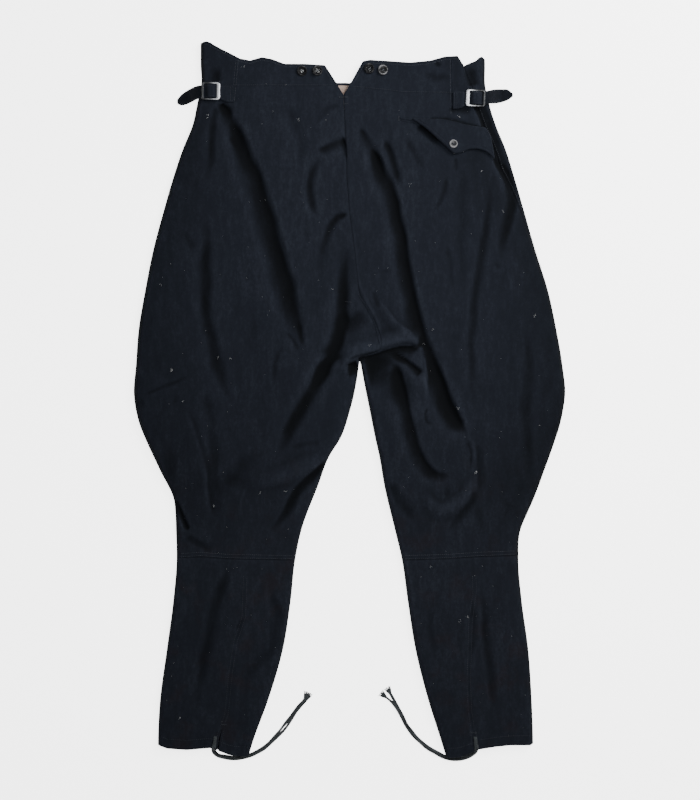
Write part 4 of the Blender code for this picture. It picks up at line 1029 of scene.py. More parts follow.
makeBacks()
makeFronts()
makeCalves()
print("breeches: panels, waistband, fronts and calves made")


# Height of the back under any point: the left leg's formula up to the seat seam or the
# inner leg edge, the right leg's beyond it
def topAt(x, y):
    x, y = np.asarray(x, float), np.asarray(y, float)
    return np.where(x < innerX(-1, y), backHeight(-1, x, y), backHeight(1, x, y))


# Unit headings along a path, by central differences
def headings(path):
    heading = np.gradient(path, axis=0)
    return heading / np.maximum(norm(heading, axis=1), 1e-9)[:, None]


# Equal steps round a unit circle, as two coordinates: sign(s) |s|^power of each, so that a
# power below 1 squares it off
def circle(count, across=1, up=1):
    angle = np.linspace(0, 2 * pi, count, endpoint=False)
    s, t = np.cos(angle), np.sin(angle)
    return np.sign(s) * np.abs(s) ** across, np.sign(t) * np.abs(t) ** up


# A flat band carried along a path: a rounded rectangle of half width and half height,
# turned about the path by twist
def addBand(name, path, halfWidth, halfHeight, finish, node=None, around=20, power=0.45,
            twist=0.0):
    heading = headings(path)
    across = np.stack((-heading[:, 1], heading[:, 0], 0 * heading[:, 0]), axis=1)
    across /= norm(across, axis=1)[:, None]
    up = np.cross(heading, across)
    count = len(path)
    halfWidth, halfHeight, twist = (np.broadcast_to(value, count)[:, None]
                                    for value in (halfWidth, halfHeight, twist))
    s, t = circle(around, power, power)
    s, t = halfWidth * s, halfHeight * t
    s, t = s * np.cos(twist) - t * np.sin(twist), s * np.sin(twist) + t * np.cos(twist)
    rings = path[:, None] + s[..., None] * across[:, None] + t[..., None] * up[:, None]
    return ringSkin(name, rings, finish, node)


# Bell of height 1 about a centre: exp(-((value - centre) / width)^2)
def bell(value, centre, width):
    return np.exp(-((value - centre) / width) ** 2)


# Spacing and half thickness of a stitch, height of its middle, and its half length and
# half height as shares of the spacing and the thickness
stitch = {"pitch": 2.9, "thread": 0.26, "raised": 0.12, "long": 0.36, "flat": 0.8}


# Stitches along a plan route that lies on a surface, one bead a stitch
def stitchRow(route, surface=topAt, pitch=stitch["pitch"], thread=stitch["thread"], smooth=False):
    route = np.array(route, float)
    run = runAlong(route)
    count = max(2, round(run[-1] / pitch))
    if smooth and len(route) > 2:
        line = routePoints(route, 2 * count + 1)
    else:
        at = np.linspace(0, run[-1], 2 * count + 1)
        line = np.stack([np.interp(at, run, route[:, k]) for k in (0, 1)], axis=1)
    line = np.column_stack((line, surface(line[:, 0], line[:, 1]) + stitch["raised"]))
    places, along = line[1::2], line[2::2] - line[:-1:2]
    size = norm(along, axis=1)
    along = along / size[:, None]
    half = np.stack((size * stitch["long"], 0 * size + thread,
                     0 * size + thread * stitch["flat"]), axis=1)
    return places, along, half


# Many stitch rows joined into one piece
def addStitches(name, rows, finish="thread"):
    places, along, half = (np.concatenate(part) for part in zip(*rows))
    return beads(name, places, along, half, finish)


ridge = {"step": 1.5, "fewest": 8, "around": 12, "power": 0.8, "blunt": 0.02}


# Half widths of a ridge whose ends are round: width (1 - (1 - d / width)^2)^0.5 near an end
def roundEnds(width, length, count):
    run = np.linspace(0, length, count)
    share = np.clip(np.minimum(run, length - run) / width, 0, 1)
    return width * np.sqrt(np.clip(1 - (1 - share) ** 2, ridge["blunt"], 1))


# A pressed ridge of cloth along a plan route on the back
def addWelt(name, route, halfWidth, height):
    span = np.hypot(*np.subtract(route[0], route[-1]))
    line = routePoints(route, max(ridge["fewest"], int(span / ridge["step"])))
    path = np.column_stack((line, topAt(line[:, 0], line[:, 1])))
    wide = roundEnds(halfWidth, lengthOf(path), len(path))
    addBand(name, path, wide, height, "wool", None, ridge["around"], ridge["power"])


lining = {
    "halfWidth": 150.0, "edgeDrop": 4.4, "depth": 36.0, "wall": 1.0, "air": 0.2,
    "columns": 180, "rows": 16,
    "ripples": ((0.18, 7.0, 5, 2.0), (0.12, 2.6, 6, 1.0)),  # height, cell, seed, how drawn out
}


# Strip inside the front waist: its edge follows the front's edge, edgeDrop below it
def makeLining():
    x = np.linspace(-lining["halfWidth"], lining["halfWidth"], lining["columns"])
    x = x[None, :] * np.ones((lining["rows"], 1))
    drop = np.linspace(0, lining["depth"], lining["rows"])[:, None]
    y = straightThrough(form["frontEdge"], x) - lining["edgeDrop"] - drop
    ripple = sum(height * swell(x, y, *where) for height, *where in lining["ripples"])
    z = form["cloth"] + form["seamGap"] + lining["wall"] + ripple + lining["air"]
    layCloth("waistLining", np.dstack((x, y, z)), "waistband_lining", -1,
             "lining", lining["wall"])


flap = {
    "top": ((94, 420), (118, 419), (137, 419), (153, 416), (172, 411), (203, 406)),
    "low": ((156, 368), (165, 370), (179, 375), (195, 375), (208, 369), (216, 361)),
    "lead": ((94, 420), (113, 407), (134, 388), (156, 368)),
    "tail": ((203, 406), (208, 398), (213, 380), (216, 361)),
    "columns": 62, "rows": 84, "rim": 0.5,
    "lay": 0.6, "lift": 2.0, "hinge": 0.45, "held": 0.1,
    "groove": 0.3, "grooveWide": 1.1, "puff": 0.35, "puffAt": 2.4, "puffWide": 2.0,
    "uneven": 0.15, "unevenCell": 6.0, "seed": 21, "rimDrop": 0.5, "rimWide": 1.6,
    "stitchIn": 5.5, "leadFrom": 1, "leadEvery": 3, "lowFrom": 6, "lowEvery": 4,
    "button": (155.0, 382.0), "buttonhole": (153.2, 386.5, 394.5),
    "tackOut": 1.5, "tack": (1.0, 0.5),     # thread beside the buttonhole: spacing, thickness
    "slit": (0.8, 0.12), "slitIn": 0.6, "slitRaised": 0.1,
    # ridges at the pocket's mouth: name, route, half width, height
    "welts": (("pocketMouthLip", ((75.5, 420.5), (84, 419.6), (95, 418)), 1.3, 0.75),
              ("pocketMouthFold", ((77, 417.2), (86, 416), (98, 413.5)), 1.1, 0.5)),
}


# Plan of the flap: the four edges blended, v across from the leading edge, u down
def flapPlan(u, v):
    lead, tail = routePoints(flap["lead"], len(u)), routePoints(flap["tail"], len(u))
    top, low = routePoints(flap["top"], len(v)), routePoints(flap["low"], len(v))
    uu, vv = u[None, :, None], v[:, None, None]
    corners = ((1 - vv) * (1 - uu) * top[0] + vv * (1 - uu) * tail[0]
               + (1 - vv) * uu * low[0] + vv * uu * low[-1])
    return (lead[None] * (1 - vv) + tail[None] * vv + top[:, None] * (1 - uu)
            + low[:, None] * uu - corners)


# The flap's upper skin: the panel's height plus its own wall and air, lifted along the free
# leading edge by lift * ease(1 - v / hinge) * sin(pi u (1 - held)), grooved by its stitching
def flapGrid():
    u, v = np.linspace(0, 1, flap["columns"]), np.linspace(0, 1, flap["rows"])
    plan = flapPlan(u, v)
    x, y = plan[..., 0], plan[..., 1]
    lift = flap["lift"] * ease(1 - v / flap["hinge"])[:, None]
    lift = lift * np.sin(pi * u * (1 - flap["held"]))[None, :]
    under = backHeight(1, x, y, foldDepth(x, y, mainFolds))
    under = np.maximum(under, backHeight(1, x, y))
    fromLead = v[:, None] * norm(plan[-1] - plan[0], axis=1)[None, :]
    fromLow = (1 - u)[None, :] * norm(plan[:, -1] - plan[:, 0], axis=1)[:, None]
    edge = np.minimum(fromLead, fromLow)
    groove = flap["groove"] * bell(edge, flap["stitchIn"], flap["grooveWide"])
    puff = flap["puff"] * bell(edge, flap["puffAt"], flap["puffWide"])
    z = under + flap["lay"] + form["cloth"] + lift - groove + puff
    z = z + flap["uneven"] * swell(x, y, flap["unevenCell"], flap["seed"])
    return np.dstack((x, y, z - flap["rimDrop"] * ease(1 - edge / flap["rimWide"])))


flapSkin = flapGrid()


# Height of the flap's upper skin at a point: that of the nearest point of its grid
def flapHeight(x, y):
    flat = flapSkin.reshape(-1, 3)
    span = np.hypot(np.ravel(x)[:, None] - flat[:, 0], np.ravel(y)[:, None] - flat[:, 1])
    return flat[np.argmin(span, axis=1), 2].reshape(np.shape(x))


# The flap, the rows of stitches along its two free edges, its buttonhole, and the ridges
# at the pocket's mouth
def makeFlap():
    layCloth("pocketFlap", flapSkin, "pocket_flap", -1, bulge=flap["rim"])
    inset, rows, columns = flap["stitchIn"], flap["rows"], flap["columns"]
    wide = norm(flapSkin[-1] - flapSkin[0], axis=1)
    tall = norm(flapSkin[:, -1] - flapSkin[:, 0], axis=1)
    lead = [flapSkin[round(inset / wide[j] * (rows - 1)), j, :2]
            for j in range(flap["leadFrom"], round((1 - inset / tall[4]) * columns),
                           flap["leadEvery"])]
    low = [flapSkin[i, round((1 - inset / tall[i]) * (columns - 1)), :2]
           for i in range(flap["lowFrom"], rows - 1, flap["lowEvery"])]
    hole, foot, head = flap["buttonhole"]
    left, right = hole - flap["tackOut"], hole + flap["tackOut"]
    sides = [((x, foot), (x, head)) for x in (left, right)]
    sides += [((left, y), (right, y)) for y in (foot, head)]
    addStitches("flapStitching", [stitchRow(line, flapHeight) for line in (lead, low)]
                + [stitchRow(ends, flapHeight, *flap["tack"]) for ends in sides])
    slot = np.array([(hole, y, 0) for y in (foot + flap["slitIn"], (foot + head) / 2,
                                            head - flap["slitIn"])], float)
    slot[:, 2] = flapHeight(slot[:, 0], slot[:, 1]) + flap["slitRaised"]
    addBand("buttonholeSlit", slot, *flap["slit"], "thread", around=10)
    for welt in flap["welts"]:
        addWelt(*welt)


button = {
    # node, x, y, tilt, loose thread, wear and painted highlight
    "brace": (("brace_button_1", -71.0, 491.5, 7.0, 0.7, 0.22),
              ("brace_button_2", -48.0, 491.8, -6.0, 1.0, 0.26),
              ("brace_button_3", 29.5, 495.0, 4.0, 0.2, 0.24),
              ("brace_button_4", 50.0, 493.0, 1.5, 0.0, 0.75)),
    "radius": 7.6, "thick": 3.0, "rest": 0.7, "sideLean": 0.6,
    "flapRadius": 6.2, "flapTilt": -2.0, "flapHighlight": 1.3,
    "lit": 1.9,                 # heading at which the painted highlight on the rim is brightest
    "rimAt": 0.84, "rimWide": 0.14, "flatHighlight": 0.32, "rimHighlight": 0.75, "highlightTurn": 0.45,
    "sectors": 72, "points": 44,
    "holeOut": 0.27, "holeRadius": 0.15, "holeDeep": 1.1, "holeAt": 1.45, "holeEdge": 0.7,
    "holeOver": 0.4,            # share of the thickness over which the skin is sunk
    # share of the radius, share of the thickness: from under the middle out, up, and in
    "profile": ((0.02, 0.0), (0.35, 0.0), (0.7, 0.02), (0.88, 0.12), (0.97, 0.3), (1.0, 0.52),
                (0.985, 0.76), (0.93, 0.94), (0.86, 1.0), (0.79, 0.95), (0.73, 0.82),
                (0.66, 0.7), (0.56, 0.62), (0.44, 0.58), (0.3, 0.56), (0.14, 0.56), (0.02, 0.56)),
    "well": 0.56,               # share of the thickness at which the thread lies
    "shank": ((0, 0, -1.2), (0, 0.01, -0.3), (0, 0, 0.4)), "shankRadius": 2.1,
    "shankSides": 14, "footSides": 12,
    "strands": 3, "strandApart": 0.45, "strandSunk": 0.9, "strandRise": 1.35,
    "strandPoints": 9, "strand": (0.33, 0.3),
    "tufts": 26, "tuftSeed": 40, "tuftOut": (0.5, 4.2), "tuftUp": (0.2, 0.9), "tuftFlat": 0.8,
    "tuftTurn": 0.8, "tuftLean": (-0.2, 0.4), "tuft": (0.9, 0.15, 0.13),
}


# A turned two-hole button: its profile spun about Z, its top sunk at each hole by
# holeDeep * ease((holeAt - distance / hole radius) / holeEdge), then tilted and set in place
def makeButton(name, node, x, y, z, radius, tilt, wearAndPaintedLight):
    count, thick = button["points"], button["thick"]
    profile = routePoints([(r * radius, h * thick) for r, h in button["profile"]], count)
    angle = np.linspace(0, 2 * pi, button["sectors"], endpoint=False)
    rings = np.dstack((profile[:, :1] * np.cos(angle), profile[:, :1] * np.sin(angle),
                       profile[:, 1:] + 0 * angle))
    out, wide = button["holeOut"] * radius, button["holeRadius"] * radius
    top = (profile[:, 1] > thick * button["holeOver"]) & (np.arange(count) > count // 2)
    for way in (-1, 1):
        span = np.hypot(rings[..., 0] - way * out, rings[..., 1])
        sunk = ease((button["holeAt"] - span / wide) / button["holeEdge"])
        rings[..., 2] -= top[:, None] * button["holeDeep"] * sunk
    lean = radians(tilt)
    rings[..., 2] += (rings[..., 1] * np.tan(lean)
                      + rings[..., 0] * np.tan(lean * button["sideLean"]))
    centre = np.array((x, y, z))
    # painted highlight on the rim, brightest towards lit and opposite it, scaled by each button's
    # wear value
    rim = bell(np.hypot(rings[..., 0], rings[..., 1]) / radius, button["rimAt"],
               button["rimWide"])
    rim = rim * (button["rimHighlight"] + button["highlightTurn"] * np.cos(2 * (angle - button["lit"])))
    ringSkin(name, rings + centre, "horn", node, wearAndPaintedLight=wearAndPaintedLight * (button["flatHighlight"] + rim))
    ringX, ringY = (button["shankRadius"] * way for way in circle(button["shankSides"]))
    ring = np.stack((ringX, ringY, 0 * ringX), axis=1)
    ringSkin(name + "Shank", (centre + button["shank"])[:, None] + ring, "thread")
    return centre + (0, 0, thick * button["well"]), out


# Sewing thread over a button: strands from hole to hole, bowed up, with loose tufts
def buttonThread(name, centre, out, tufts=0, seed=0):
    t = np.linspace(0, 1, button["strandPoints"])
    for k in range(button["strands"]):
        bow = button["strandRise"] * np.sin(pi * t) ** 0.5
        path = np.stack((centre[0] + out * (2 * t - 1),
                         centre[1] + (k - 1) * button["strandApart"] + 0 * t,
                         centre[2] - button["strandSunk"] + bow), axis=1)
        addBand("%sThread%d" % (name, k + 1), path, *button["strand"], "thread", around=8,
                power=1)
    if tufts:
        dice = np.random.default_rng(seed)
        count = round(button["tufts"] * tufts)
        way = dice.uniform(0, 2 * pi, count)
        reach = dice.uniform(*button["tuftOut"], count)
        places = centre + np.stack((reach * np.cos(way),
                                    reach * np.sin(way) * button["tuftFlat"],
                                    dice.uniform(*button["tuftUp"], count)), axis=1)
        along = np.stack((np.cos(way + dice.normal(0, button["tuftTurn"], count)),
                          np.sin(way + dice.normal(0, button["tuftTurn"], count)),
                          dice.uniform(*button["tuftLean"], count)), axis=1)
        along /= norm(along, axis=1)[:, None]
        beads(name + "Fluff", places, along, button["tuft"], "lint")


# Each brace button rests on the highest wool under its foot, the flap's button on the flap
def makeButtons():
    footX, footY = circle(button["footSides"])
    reach = button["radius"] * button["rest"]
    for seed, (name, x, y, tilt, tufts, wearAndPaintedLight) in enumerate(button["brace"], button["tuftSeed"]):
        seat = topAt(x + reach * footX, y + reach * footY).max() + form["seamGap"]
        centre, out = makeButton(name + "_turned", name, x, y, seat, button["radius"], tilt, wearAndPaintedLight)
        buttonThread(name, centre, out, tufts, seed)
    x, y = flap["button"]
    seat = float(flapHeight(x, y)) + form["seamGap"]
    centre, out = makeButton("flapButton", "pocket_flap_button", x, y, seat,
                             button["flapRadius"], button["flapTilt"], button["flapHighlight"])
    buttonThread("flapButton", centre, out)


strap = {
    "wall": 1.6, "step": 0.9, "climb": (2.0, 14.0), "archTop": 2.2, "archSlope": 7.0,
    "fallStarts": 1.5, "fallLength": 26.0, "tailHeight": 0.2, "steepest": 1.25,
    "tailShade": -0.5, "tailStarts": 40.0, "tailFade": 14.0,    # painted shade: darker wool past the buckle
    "start": {-1: -172.0, 1: 154.5}, "around": 40, "square": (0.3, 0.55),
    # past the last row: how far, share of the half width left; and the share at the sewn end
    "tip": ((0.7, 0.86), (1.2, 0.6), (1.5, 0.25)), "sewn": (0.985, 0.995),
    "stitchIn": 2.2, "groove": 0.16, "grooveWide": 0.8, "uneven": 0.12, "unevenCell": 5.0,
    "seed": 31, "pitch": 2.6, "thread": 0.2, "sunk": 0.1, "rowFrom": 1.5, "rowStep": 2.9,
    "leastHalf": 0.4,           # of the rows' distance from the middle line
    "crossIn": (2.0, 5.5), "crossHalf": 10.5, "crossThread": 0.24,      # rows at the sewn end
    # distance out from the sewn end, centre height, half width
    -1: ((0, 457.5, 13.2), (12, 458, 12.6), (20, 459.5, 10.8), (27, 461, 10.3),
         (44, 460.7, 10.3), (50, 460.2, 9.6), (54, 459.5, 9.9), (64, 456.3, 10.5),
         (74, 452.4, 9.9), (81, 449.4, 7.6), (85, 447.8, 4.4)),
    1: ((0, 447.8, 13.2), (12, 448.6, 12.6), (18, 449.6, 10.6), (24, 450.3, 9.9),
        (42, 450.8, 9.9), (48, 451.5, 9.5), (54, 452.4, 9.9), (62, 454.0, 10.5),
        (74, 456.2, 9.8), (84, 457.6, 7.2), (89, 457.4, 3.4)),
}
buckle = {
    -1: {"x": -207.0, "y": 461.0, "wide": 28.0, "tall": 26.5, "turn": -1.0},
    1: {"x": 188.0, "y": 450.5, "wide": 29.0, "tall": 25.5, "turn": -3.0},
    "innerBar": 5.6, "outerBar": 3.2, "endBar": 2.5, "corner": 4.2, "window": 1.6, "thick": 2.0,
    "around": 16, "square": (0.75, 0.6),
    # wear and painted reflection: the mark of the plate all round, and on the inner side bar
    "wearAndPaintedLight": (0.12, 0.95),       # of the plate all round, and on the inner side bar
    "innerFrom": 0.5, "innerSlope": 0.9, "footGlint": 0.4, "footFrom": 0.9,
    "barWide": 2.6, "barThick": 1.6, "barRaised": 0.1, "barIn": 1.2, "barPoints": 24,
    "tabWall": 1.0, "tabHalf": 8.0, "tabPoints": 26,
    # tab: distance in from the centre bar, rise over its seat
    "tab": ((-1.6, 1.85), (2.2, 1.85), (5.0, 1.2), (8.5, 0), (13.5, 0)),
}


# Height of a node's foot
def footOf(node):
    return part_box(node)[0].z / mm


# Underside of the strap: climbs on to the tab, arches over the centre bar, and falls
# beside the garment: (rest + arch) (1 - fall) + tail height * fall
def strapHeight(side, word, out):
    fromBar = out - side * (buckle[side]["x"] - strap["start"][side])
    climb = ease((out - strap["climb"][0]) / (strap["climb"][1] - strap["climb"][0]))
    rest = footOf("buckle_tab_" + word) + (buckle["tabWall"] + form["seamGap"]) * climb
    overBar = strap["wall"] + buckle["barThick"] + 3 * form["seamGap"]
    arch = overBar * (1 - ease((np.abs(fromBar) - strap["archTop"]) / strap["archSlope"]))
    fall = ease((fromBar - buckle[side]["wide"] / 2 - strap["fallStarts"]) / strap["fallLength"])
    return (rest + arch) * (1 - fall) + strap["tailHeight"] * fall


# A strap: rounded sections along its rows, thicker where it climbs, grooved by its stitches
def makeStrap(side, word):
    rows, base = strap[side], strap["start"][side]
    last = rows[-1][0]
    past, narrow = np.array(strap["tip"]).T
    out = np.linspace(0, last, round(last / strap["step"]) + 1)
    out = np.concatenate((out, last + past))
    half = smoothThrough(rows, 2, out)
    half[-len(narrow):] *= narrow
    half[:len(strap["sewn"])] *= strap["sewn"]
    low = strapHeight(side, word, np.minimum(out, last))
    lean = np.minimum(np.sqrt(1 + np.gradient(low, out) ** 2), strap["steepest"])
    wall = strap["wall"] * lean
    s, t = circle(strap["around"], *strap["square"])
    x = base + side * out[:, None] + 0 * s
    y = smoothThrough(rows, 1, out)[:, None] + half[:, None] * s
    dip = strap["groove"] * bell(half[:, None] * (1 - np.abs(s)), strap["stitchIn"],
                                 strap["grooveWide"])
    wave = strap["uneven"] * swell(x, y, strap["unevenCell"], strap["seed"] + side)
    z = (low + wall / 2)[:, None] + wall[:, None] / 2 * t - (t > 0) * (dip - wave)
    # painted shade on the tail that lies past the buckle
    dark = strap["tailShade"] * ease((out - strap["tailStarts"]) / strap["tailFade"])
    piece = ringSkin("cinchStrap_" + word, np.dstack((x, y, z)), "wool",
                     "cinch_strap_" + word, wearAndPaintedLight=dark[:, None])
    (half[1:] + half[:-1]) @ np.diff(out) * mm * mm

    # Height of its upper skin, less a little for the thread
    def onStrap(x, _):
        return np.interp(side * (x - base), out, low + wall) - strap["sunk"]

    at = np.arange(strap["rowFrom"], last - 1, strap["rowStep"])
    inset = np.maximum(smoothThrough(rows, 2, at) - strap["stitchIn"], strap["leastHalf"])
    edges = [stitchRow(np.stack((base + side * at, smoothThrough(rows, 1, at) + way * inset),
                                axis=1), onStrap, strap["pitch"], strap["thread"])
             for way in (-1, 1)]
    for inward in strap["crossIn"]:
        x, middle = base + side * inward, smoothThrough(rows, 1, inward)
        ends = ((x, middle - strap["crossHalf"]), (x, middle + strap["crossHalf"]))
        edges.append(stitchRow(ends, onStrap, strap["pitch"], strap["crossThread"]))
    addStitches("strapStitching_" + word, edges, "darkThread")


# Corner points of a rounded rectangle from its four sides, with each straight cut up
def roundedLoop(left, right, foot, head, corner, arc=8, straight=6):
    points = []
    spots = ((right - corner, head - corner), (left + corner, head - corner),
             (left + corner, foot + corner), (right - corner, foot + corner))
    for quarter, (cx, cy) in enumerate(spots):
        angle = np.linspace(0, pi / 2, arc) + quarter * pi / 2
        points.append(np.stack((cx + corner * np.cos(angle), cy + corner * np.sin(angle)), axis=1))
    loop = []
    for arcPoints, after in zip(points, points[1:] + points[:1]):
        share = np.linspace(0, 1, straight + 2)[1:-1, None]
        loop += [arcPoints, arcPoints[-1] * (1 - share) + after[0] * share]
    return np.concatenate(loop)


# Buckle frame: a rounded section between an outer and an inner loop, its inner side bar
# wider than the outer one, turned in plan; the centre bar is a rounded bar across it, and
# the tab a flat band from there inwards
def makeBuckle(side, word):
    size = buckle[side]
    low = footOf("buckle_" + word)
    halfWide, halfTall = size["wide"] / 2, size["tall"] / 2
    outer = roundedLoop(-halfWide, halfWide, -halfTall, halfTall, buckle["corner"])
    leftBar, rightBar = (buckle["outerBar"], buckle["innerBar"])[::-side]
    inner = roundedLoop(-halfWide + leftBar, halfWide - rightBar, -halfTall + buckle["endBar"],
                        halfTall - buckle["endBar"], buckle["window"])
    s, t = circle(buckle["around"], *buckle["square"])
    middle, reach = (outer + inner) / 2, (outer - inner) / 2
    plan = middle[:, None] + reach[:, None] * s[None, :, None]
    height = low + buckle["thick"] / 2 * (1 + t) + 0 * plan[..., 0]
    # wear and painted reflection: bright on the inner side bar and along the foot, where the strap
    # rubs and where a reflection is painted
    outwards, upwards = side * middle[:, :1] / halfWide, middle[:, 1:] / halfTall
    inside = ease(buckle["innerFrom"] - outwards * buckle["innerSlope"]) ** 2
    foot = buckle["footGlint"] * ease(-upwards) * ease(buckle["footFrom"] - outwards)
    dull, bright = buckle["wearAndPaintedLight"]
    wearAndPaintedLight = dull + (bright - dull) * np.maximum(inside, foot) + 0 * t
    turn = radians(size["turn"])
    plan = plan @ np.array(((np.cos(turn), np.sin(turn)), (-np.sin(turn), np.cos(turn))))
    rings = np.concatenate((plan + (size["x"], size["y"]), height[..., None]), axis=2)
    ringSkin("buckleFrame_" + word, rings, "metal", "buckle_" + word, loop=True, wearAndPaintedLight=wearAndPaintedLight)
    halfBar = halfTall - buckle["barIn"]
    y = np.linspace(-halfBar, halfBar, buckle["barPoints"])
    path = np.stack((size["x"] - y * np.sin(turn), size["y"] + y * np.cos(turn),
                     0 * y + low + buckle["barRaised"] + buckle["barThick"] / 2), axis=1)
    addBand("buckleBar_" + word, path, buckle["barWide"] / 2, buckle["barThick"] / 2, "metal",
            around=16, power=0.6)
    at = np.linspace(buckle["tab"][0][0], buckle["tab"][-1][0], buckle["tabPoints"])
    level = footOf("buckle_tab_" + word) + smoothThrough(buckle["tab"], 1, at)
    level = level + buckle["tabWall"] / 2
    path = np.stack((size["x"] - side * at, size["y"] + 0 * at, level), axis=1)
    addBand("buckleTab_" + word, path, buckle["tabHalf"], buckle["tabWall"] / 2, "wool",
            "buckle_tab_" + word, around=24, power=0.3)


tape = {
    "halfWidth": 2.3, "halfThick": 0.5, "spacing": 2.5, "onFront": 2.1, "onFloor": 0.12,
    "points": 120, "roll": 0.5, "turns": 2.4, "wobble": 0.4, "wobbleTurns": 5.3, "phase": 1.3,
    "freeFrom": 22.0, "freeOver": 10.0, "freeEnd": 12.0,    # where along it the rolling grows
    "flare": 4.5, "flareLength": 9.0, "flareThin": 0.4,
    # fibres at the free end: how many, half length, splay, turn, share of the flare's width
    "fray": 46, "fraySeed": 60, "frayLong": (0.8, 2.6), "fraySplay": 0.5, "frayTurn": 0.25,
    "frayWide": 0.92, "frayOut": 0.7, "frayUp": (0.25, 0.9), "frayThick": (0.16, 0.14),
    # middle line of each pair: x, y, where it lies (-1 on the hem, 0 on the front layer,
    # 1 on the floor), spread
    -1: ((-199.5, -494, 0, 1), (-199.8, -500, -0.3, 0.6), (-200.8, -506, -1, 0.1),
         (-201.6, -514, -1, 0.3), (-203.3, -521, -1, 0.8), (-203.2, -527, 0.5, 1),
         (-198.5, -532.2, 1, 1), (-187, -535.4, 1, 1.1), (-170, -536.6, 1, 1.3),
         (-152, -533.4, 1, 1), (-131, -523.5, 1, 0.9), (-112, -506.5, 1, 1.1),
         (-97, -489.5, 1, 1.9), (-86, -474, 1, 1.1), (-75, -459, 1, 0.9),
         (-66.5, -449, 1, 1), (-62.5, -441.5, 1, 1.2)),
    1: ((188, -494, 0, 1), (188.2, -500, -0.3, 0.6), (188.3, -507, -1, 0.1),
        (189, -514, -1, 0.3), (190, -521, -1, 0.8), (188.6, -527, 0.5, 1),
        (182.5, -532.6, 1, 1), (171, -536.2, 1, 1.3),
        (155, -537.6, 1, 1.2), (140, -534, 1, 1.1), (129, -528, 1, 1), (117, -521.2, 1, 1),
        (102, -508.5, 1, 1), (88, -491, 1, 1), (77, -471, 1, 0.9), (66.5, -453.5, 1, 1.5),
        (53, -437, 1, 4.6)),
}


# One woven tape: a flat section rolled about its route by roll + slow turns, resting by
# its half height on the front layer, the hem and then the floor, splayed at its free end;
# where the spread falls below 1 the second strand lies on the first
def makeTape(side, word, strand, letter):
    line = routePoints(tape[side], tape["points"])
    heading = headings(line[:, :2])
    aside = np.stack((-heading[:, 1], heading[:, 0]), axis=1)
    plan = line[:, :2] + aside * strand * tape["spacing"] / 2 * line[:, 3:4]
    share = np.linspace(0, 1, tape["points"])
    length = lengthOf(plan)
    left = (1 - share) * length
    free = (ease((share * length - tape["freeFrom"]) / tape["freeOver"])
            * ease(left / tape["freeEnd"]))
    phase = tape["phase"] * strand + side
    turns = tape["roll"] * np.sin(2 * pi * tape["turns"] * share + phase)
    wobble = tape["wobble"] * np.sin(2 * pi * tape["wobbleTurns"] * share + 2 * phase)
    roll = free * (turns + wobble)
    flare = ease(1 - left / tape["flareLength"])
    wide = tape["halfWidth"] + (tape["flare"] - tape["halfWidth"]) * flare
    thick = tape["halfThick"] * (1 - tape["flareThin"] * flare)
    rest = np.hypot(wide * np.sin(roll), thick * np.cos(roll))
    onHem = topAt(plan[:, 0], plan[:, 1]) + tape["onFloor"]
    base = tape["onFront"] + (tape["onFloor"] - tape["onFront"]) * ease(line[:, 2])
    base += (onHem - base) * ease(-line[:, 2])
    above = (strand < 0) * 2 * tape["halfThick"] * ease(1 - line[:, 3])
    path = np.column_stack((plan, base + rest + above))
    piece = addBand("hemTape_%s_%s" % (word, letter), path, wide, thick, "tape",
                    "hem_tape_%s_%s" % (word, letter), around=18, power=0.6, twist=roll)
    dice = np.random.default_rng(tape["fraySeed"] + side + 2 * strand)
    count, way = tape["fray"], headings(path)[-1]
    sideways = dice.uniform(-1, 1, count)
    cross = np.array((-way[1], way[0], 0))
    long = dice.uniform(*tape["frayLong"], count)
    splay = sideways * tape["fraySplay"] + dice.normal(0, tape["frayTurn"], count)
    lean = way + cross * splay[:, None]
    lean /= norm(lean, axis=1)[:, None]
    places = (path[-1] + cross * (sideways * tape["flare"] * tape["frayWide"])[:, None]
              + lean * (long * tape["frayOut"])[:, None])
    places[:, 2] = dice.uniform(*tape["frayUp"], count)
    lean[:, 2] = 0
    wideFibre, highFibre = tape["frayThick"]
    fray = beads("tapeFray_%s_%s" % (word, letter), places, lean,
                 np.stack((long, wideFibre + 0 * long, highFibre + 0 * long), axis=1), "tape")
    run = lengthOf(path)
    print("breeches: tape %s %s is %.0f mm long" % (word, letter, run))


seams = {
    "knee": (2.4, 7.4), "kneeIn": (6, 4),       # over the knee seam; in at its outer, inner end
    # rows along a table: height at which the outer end is read, in from the outer end and
    # past the notch, distance over the table, points
    "waist": (462.0, 4, 6, 1.8, 30), "edge": (510.0, 3, 3, -4.2, 60),
    "notchIn": 4.4, "notchHead": 4, "notchPoints": 8,
    "hem": 14.0, "hemAt": -505.0, "hemIn": 5, "hemPoints": 24,
    # rows down the calf seams: top, foot, points, distance from the seam, thread
    "calf": ((-262, -488, 40, 2.6, 0.2), (-494, -517, 8, 3.6, 0.26)),
    "side": (446, 197.01258, 60), "sideIn": 3.2,
    # bars: two ends, how many rows; then their spacing, pitch and thread
    "bars": (((73.4, 424.5), (73.4, 417), 3), ((-16, 452.6), (-3, 452.6), 3),
             ((-10, 443), (-2, 443), 2), ((-7, 147), (4, 146), 1),
             ((-192, -485), (-184, -485.5), 3), ((179, -497), (190, -497.5), 3)),
    "barApart": 0.7, "bar": (1.5, 0.42), "dart": (2.2, 0.3),
    "darts": (((-169.6, 508), (-171.5, 490), (-174.5, 446)),
              ((-166.2, 508), (-168.0, 490), (-172, 446)),
              ((150.4, 511), (150.6, 480), (151.6, 427)), ((153.0, 420), (154.6, 408))),
    # pressed ridges: name, route, half width, height
    "welts": (("dartFold_right", ((153.6, 511), (153.8, 480), (154.4, 462)), 0.8, 0.5),
              ("seatWelt", ((12, 158), (28, 134), (38, 112), (45, 84)), 0.9, 0.5)),
}


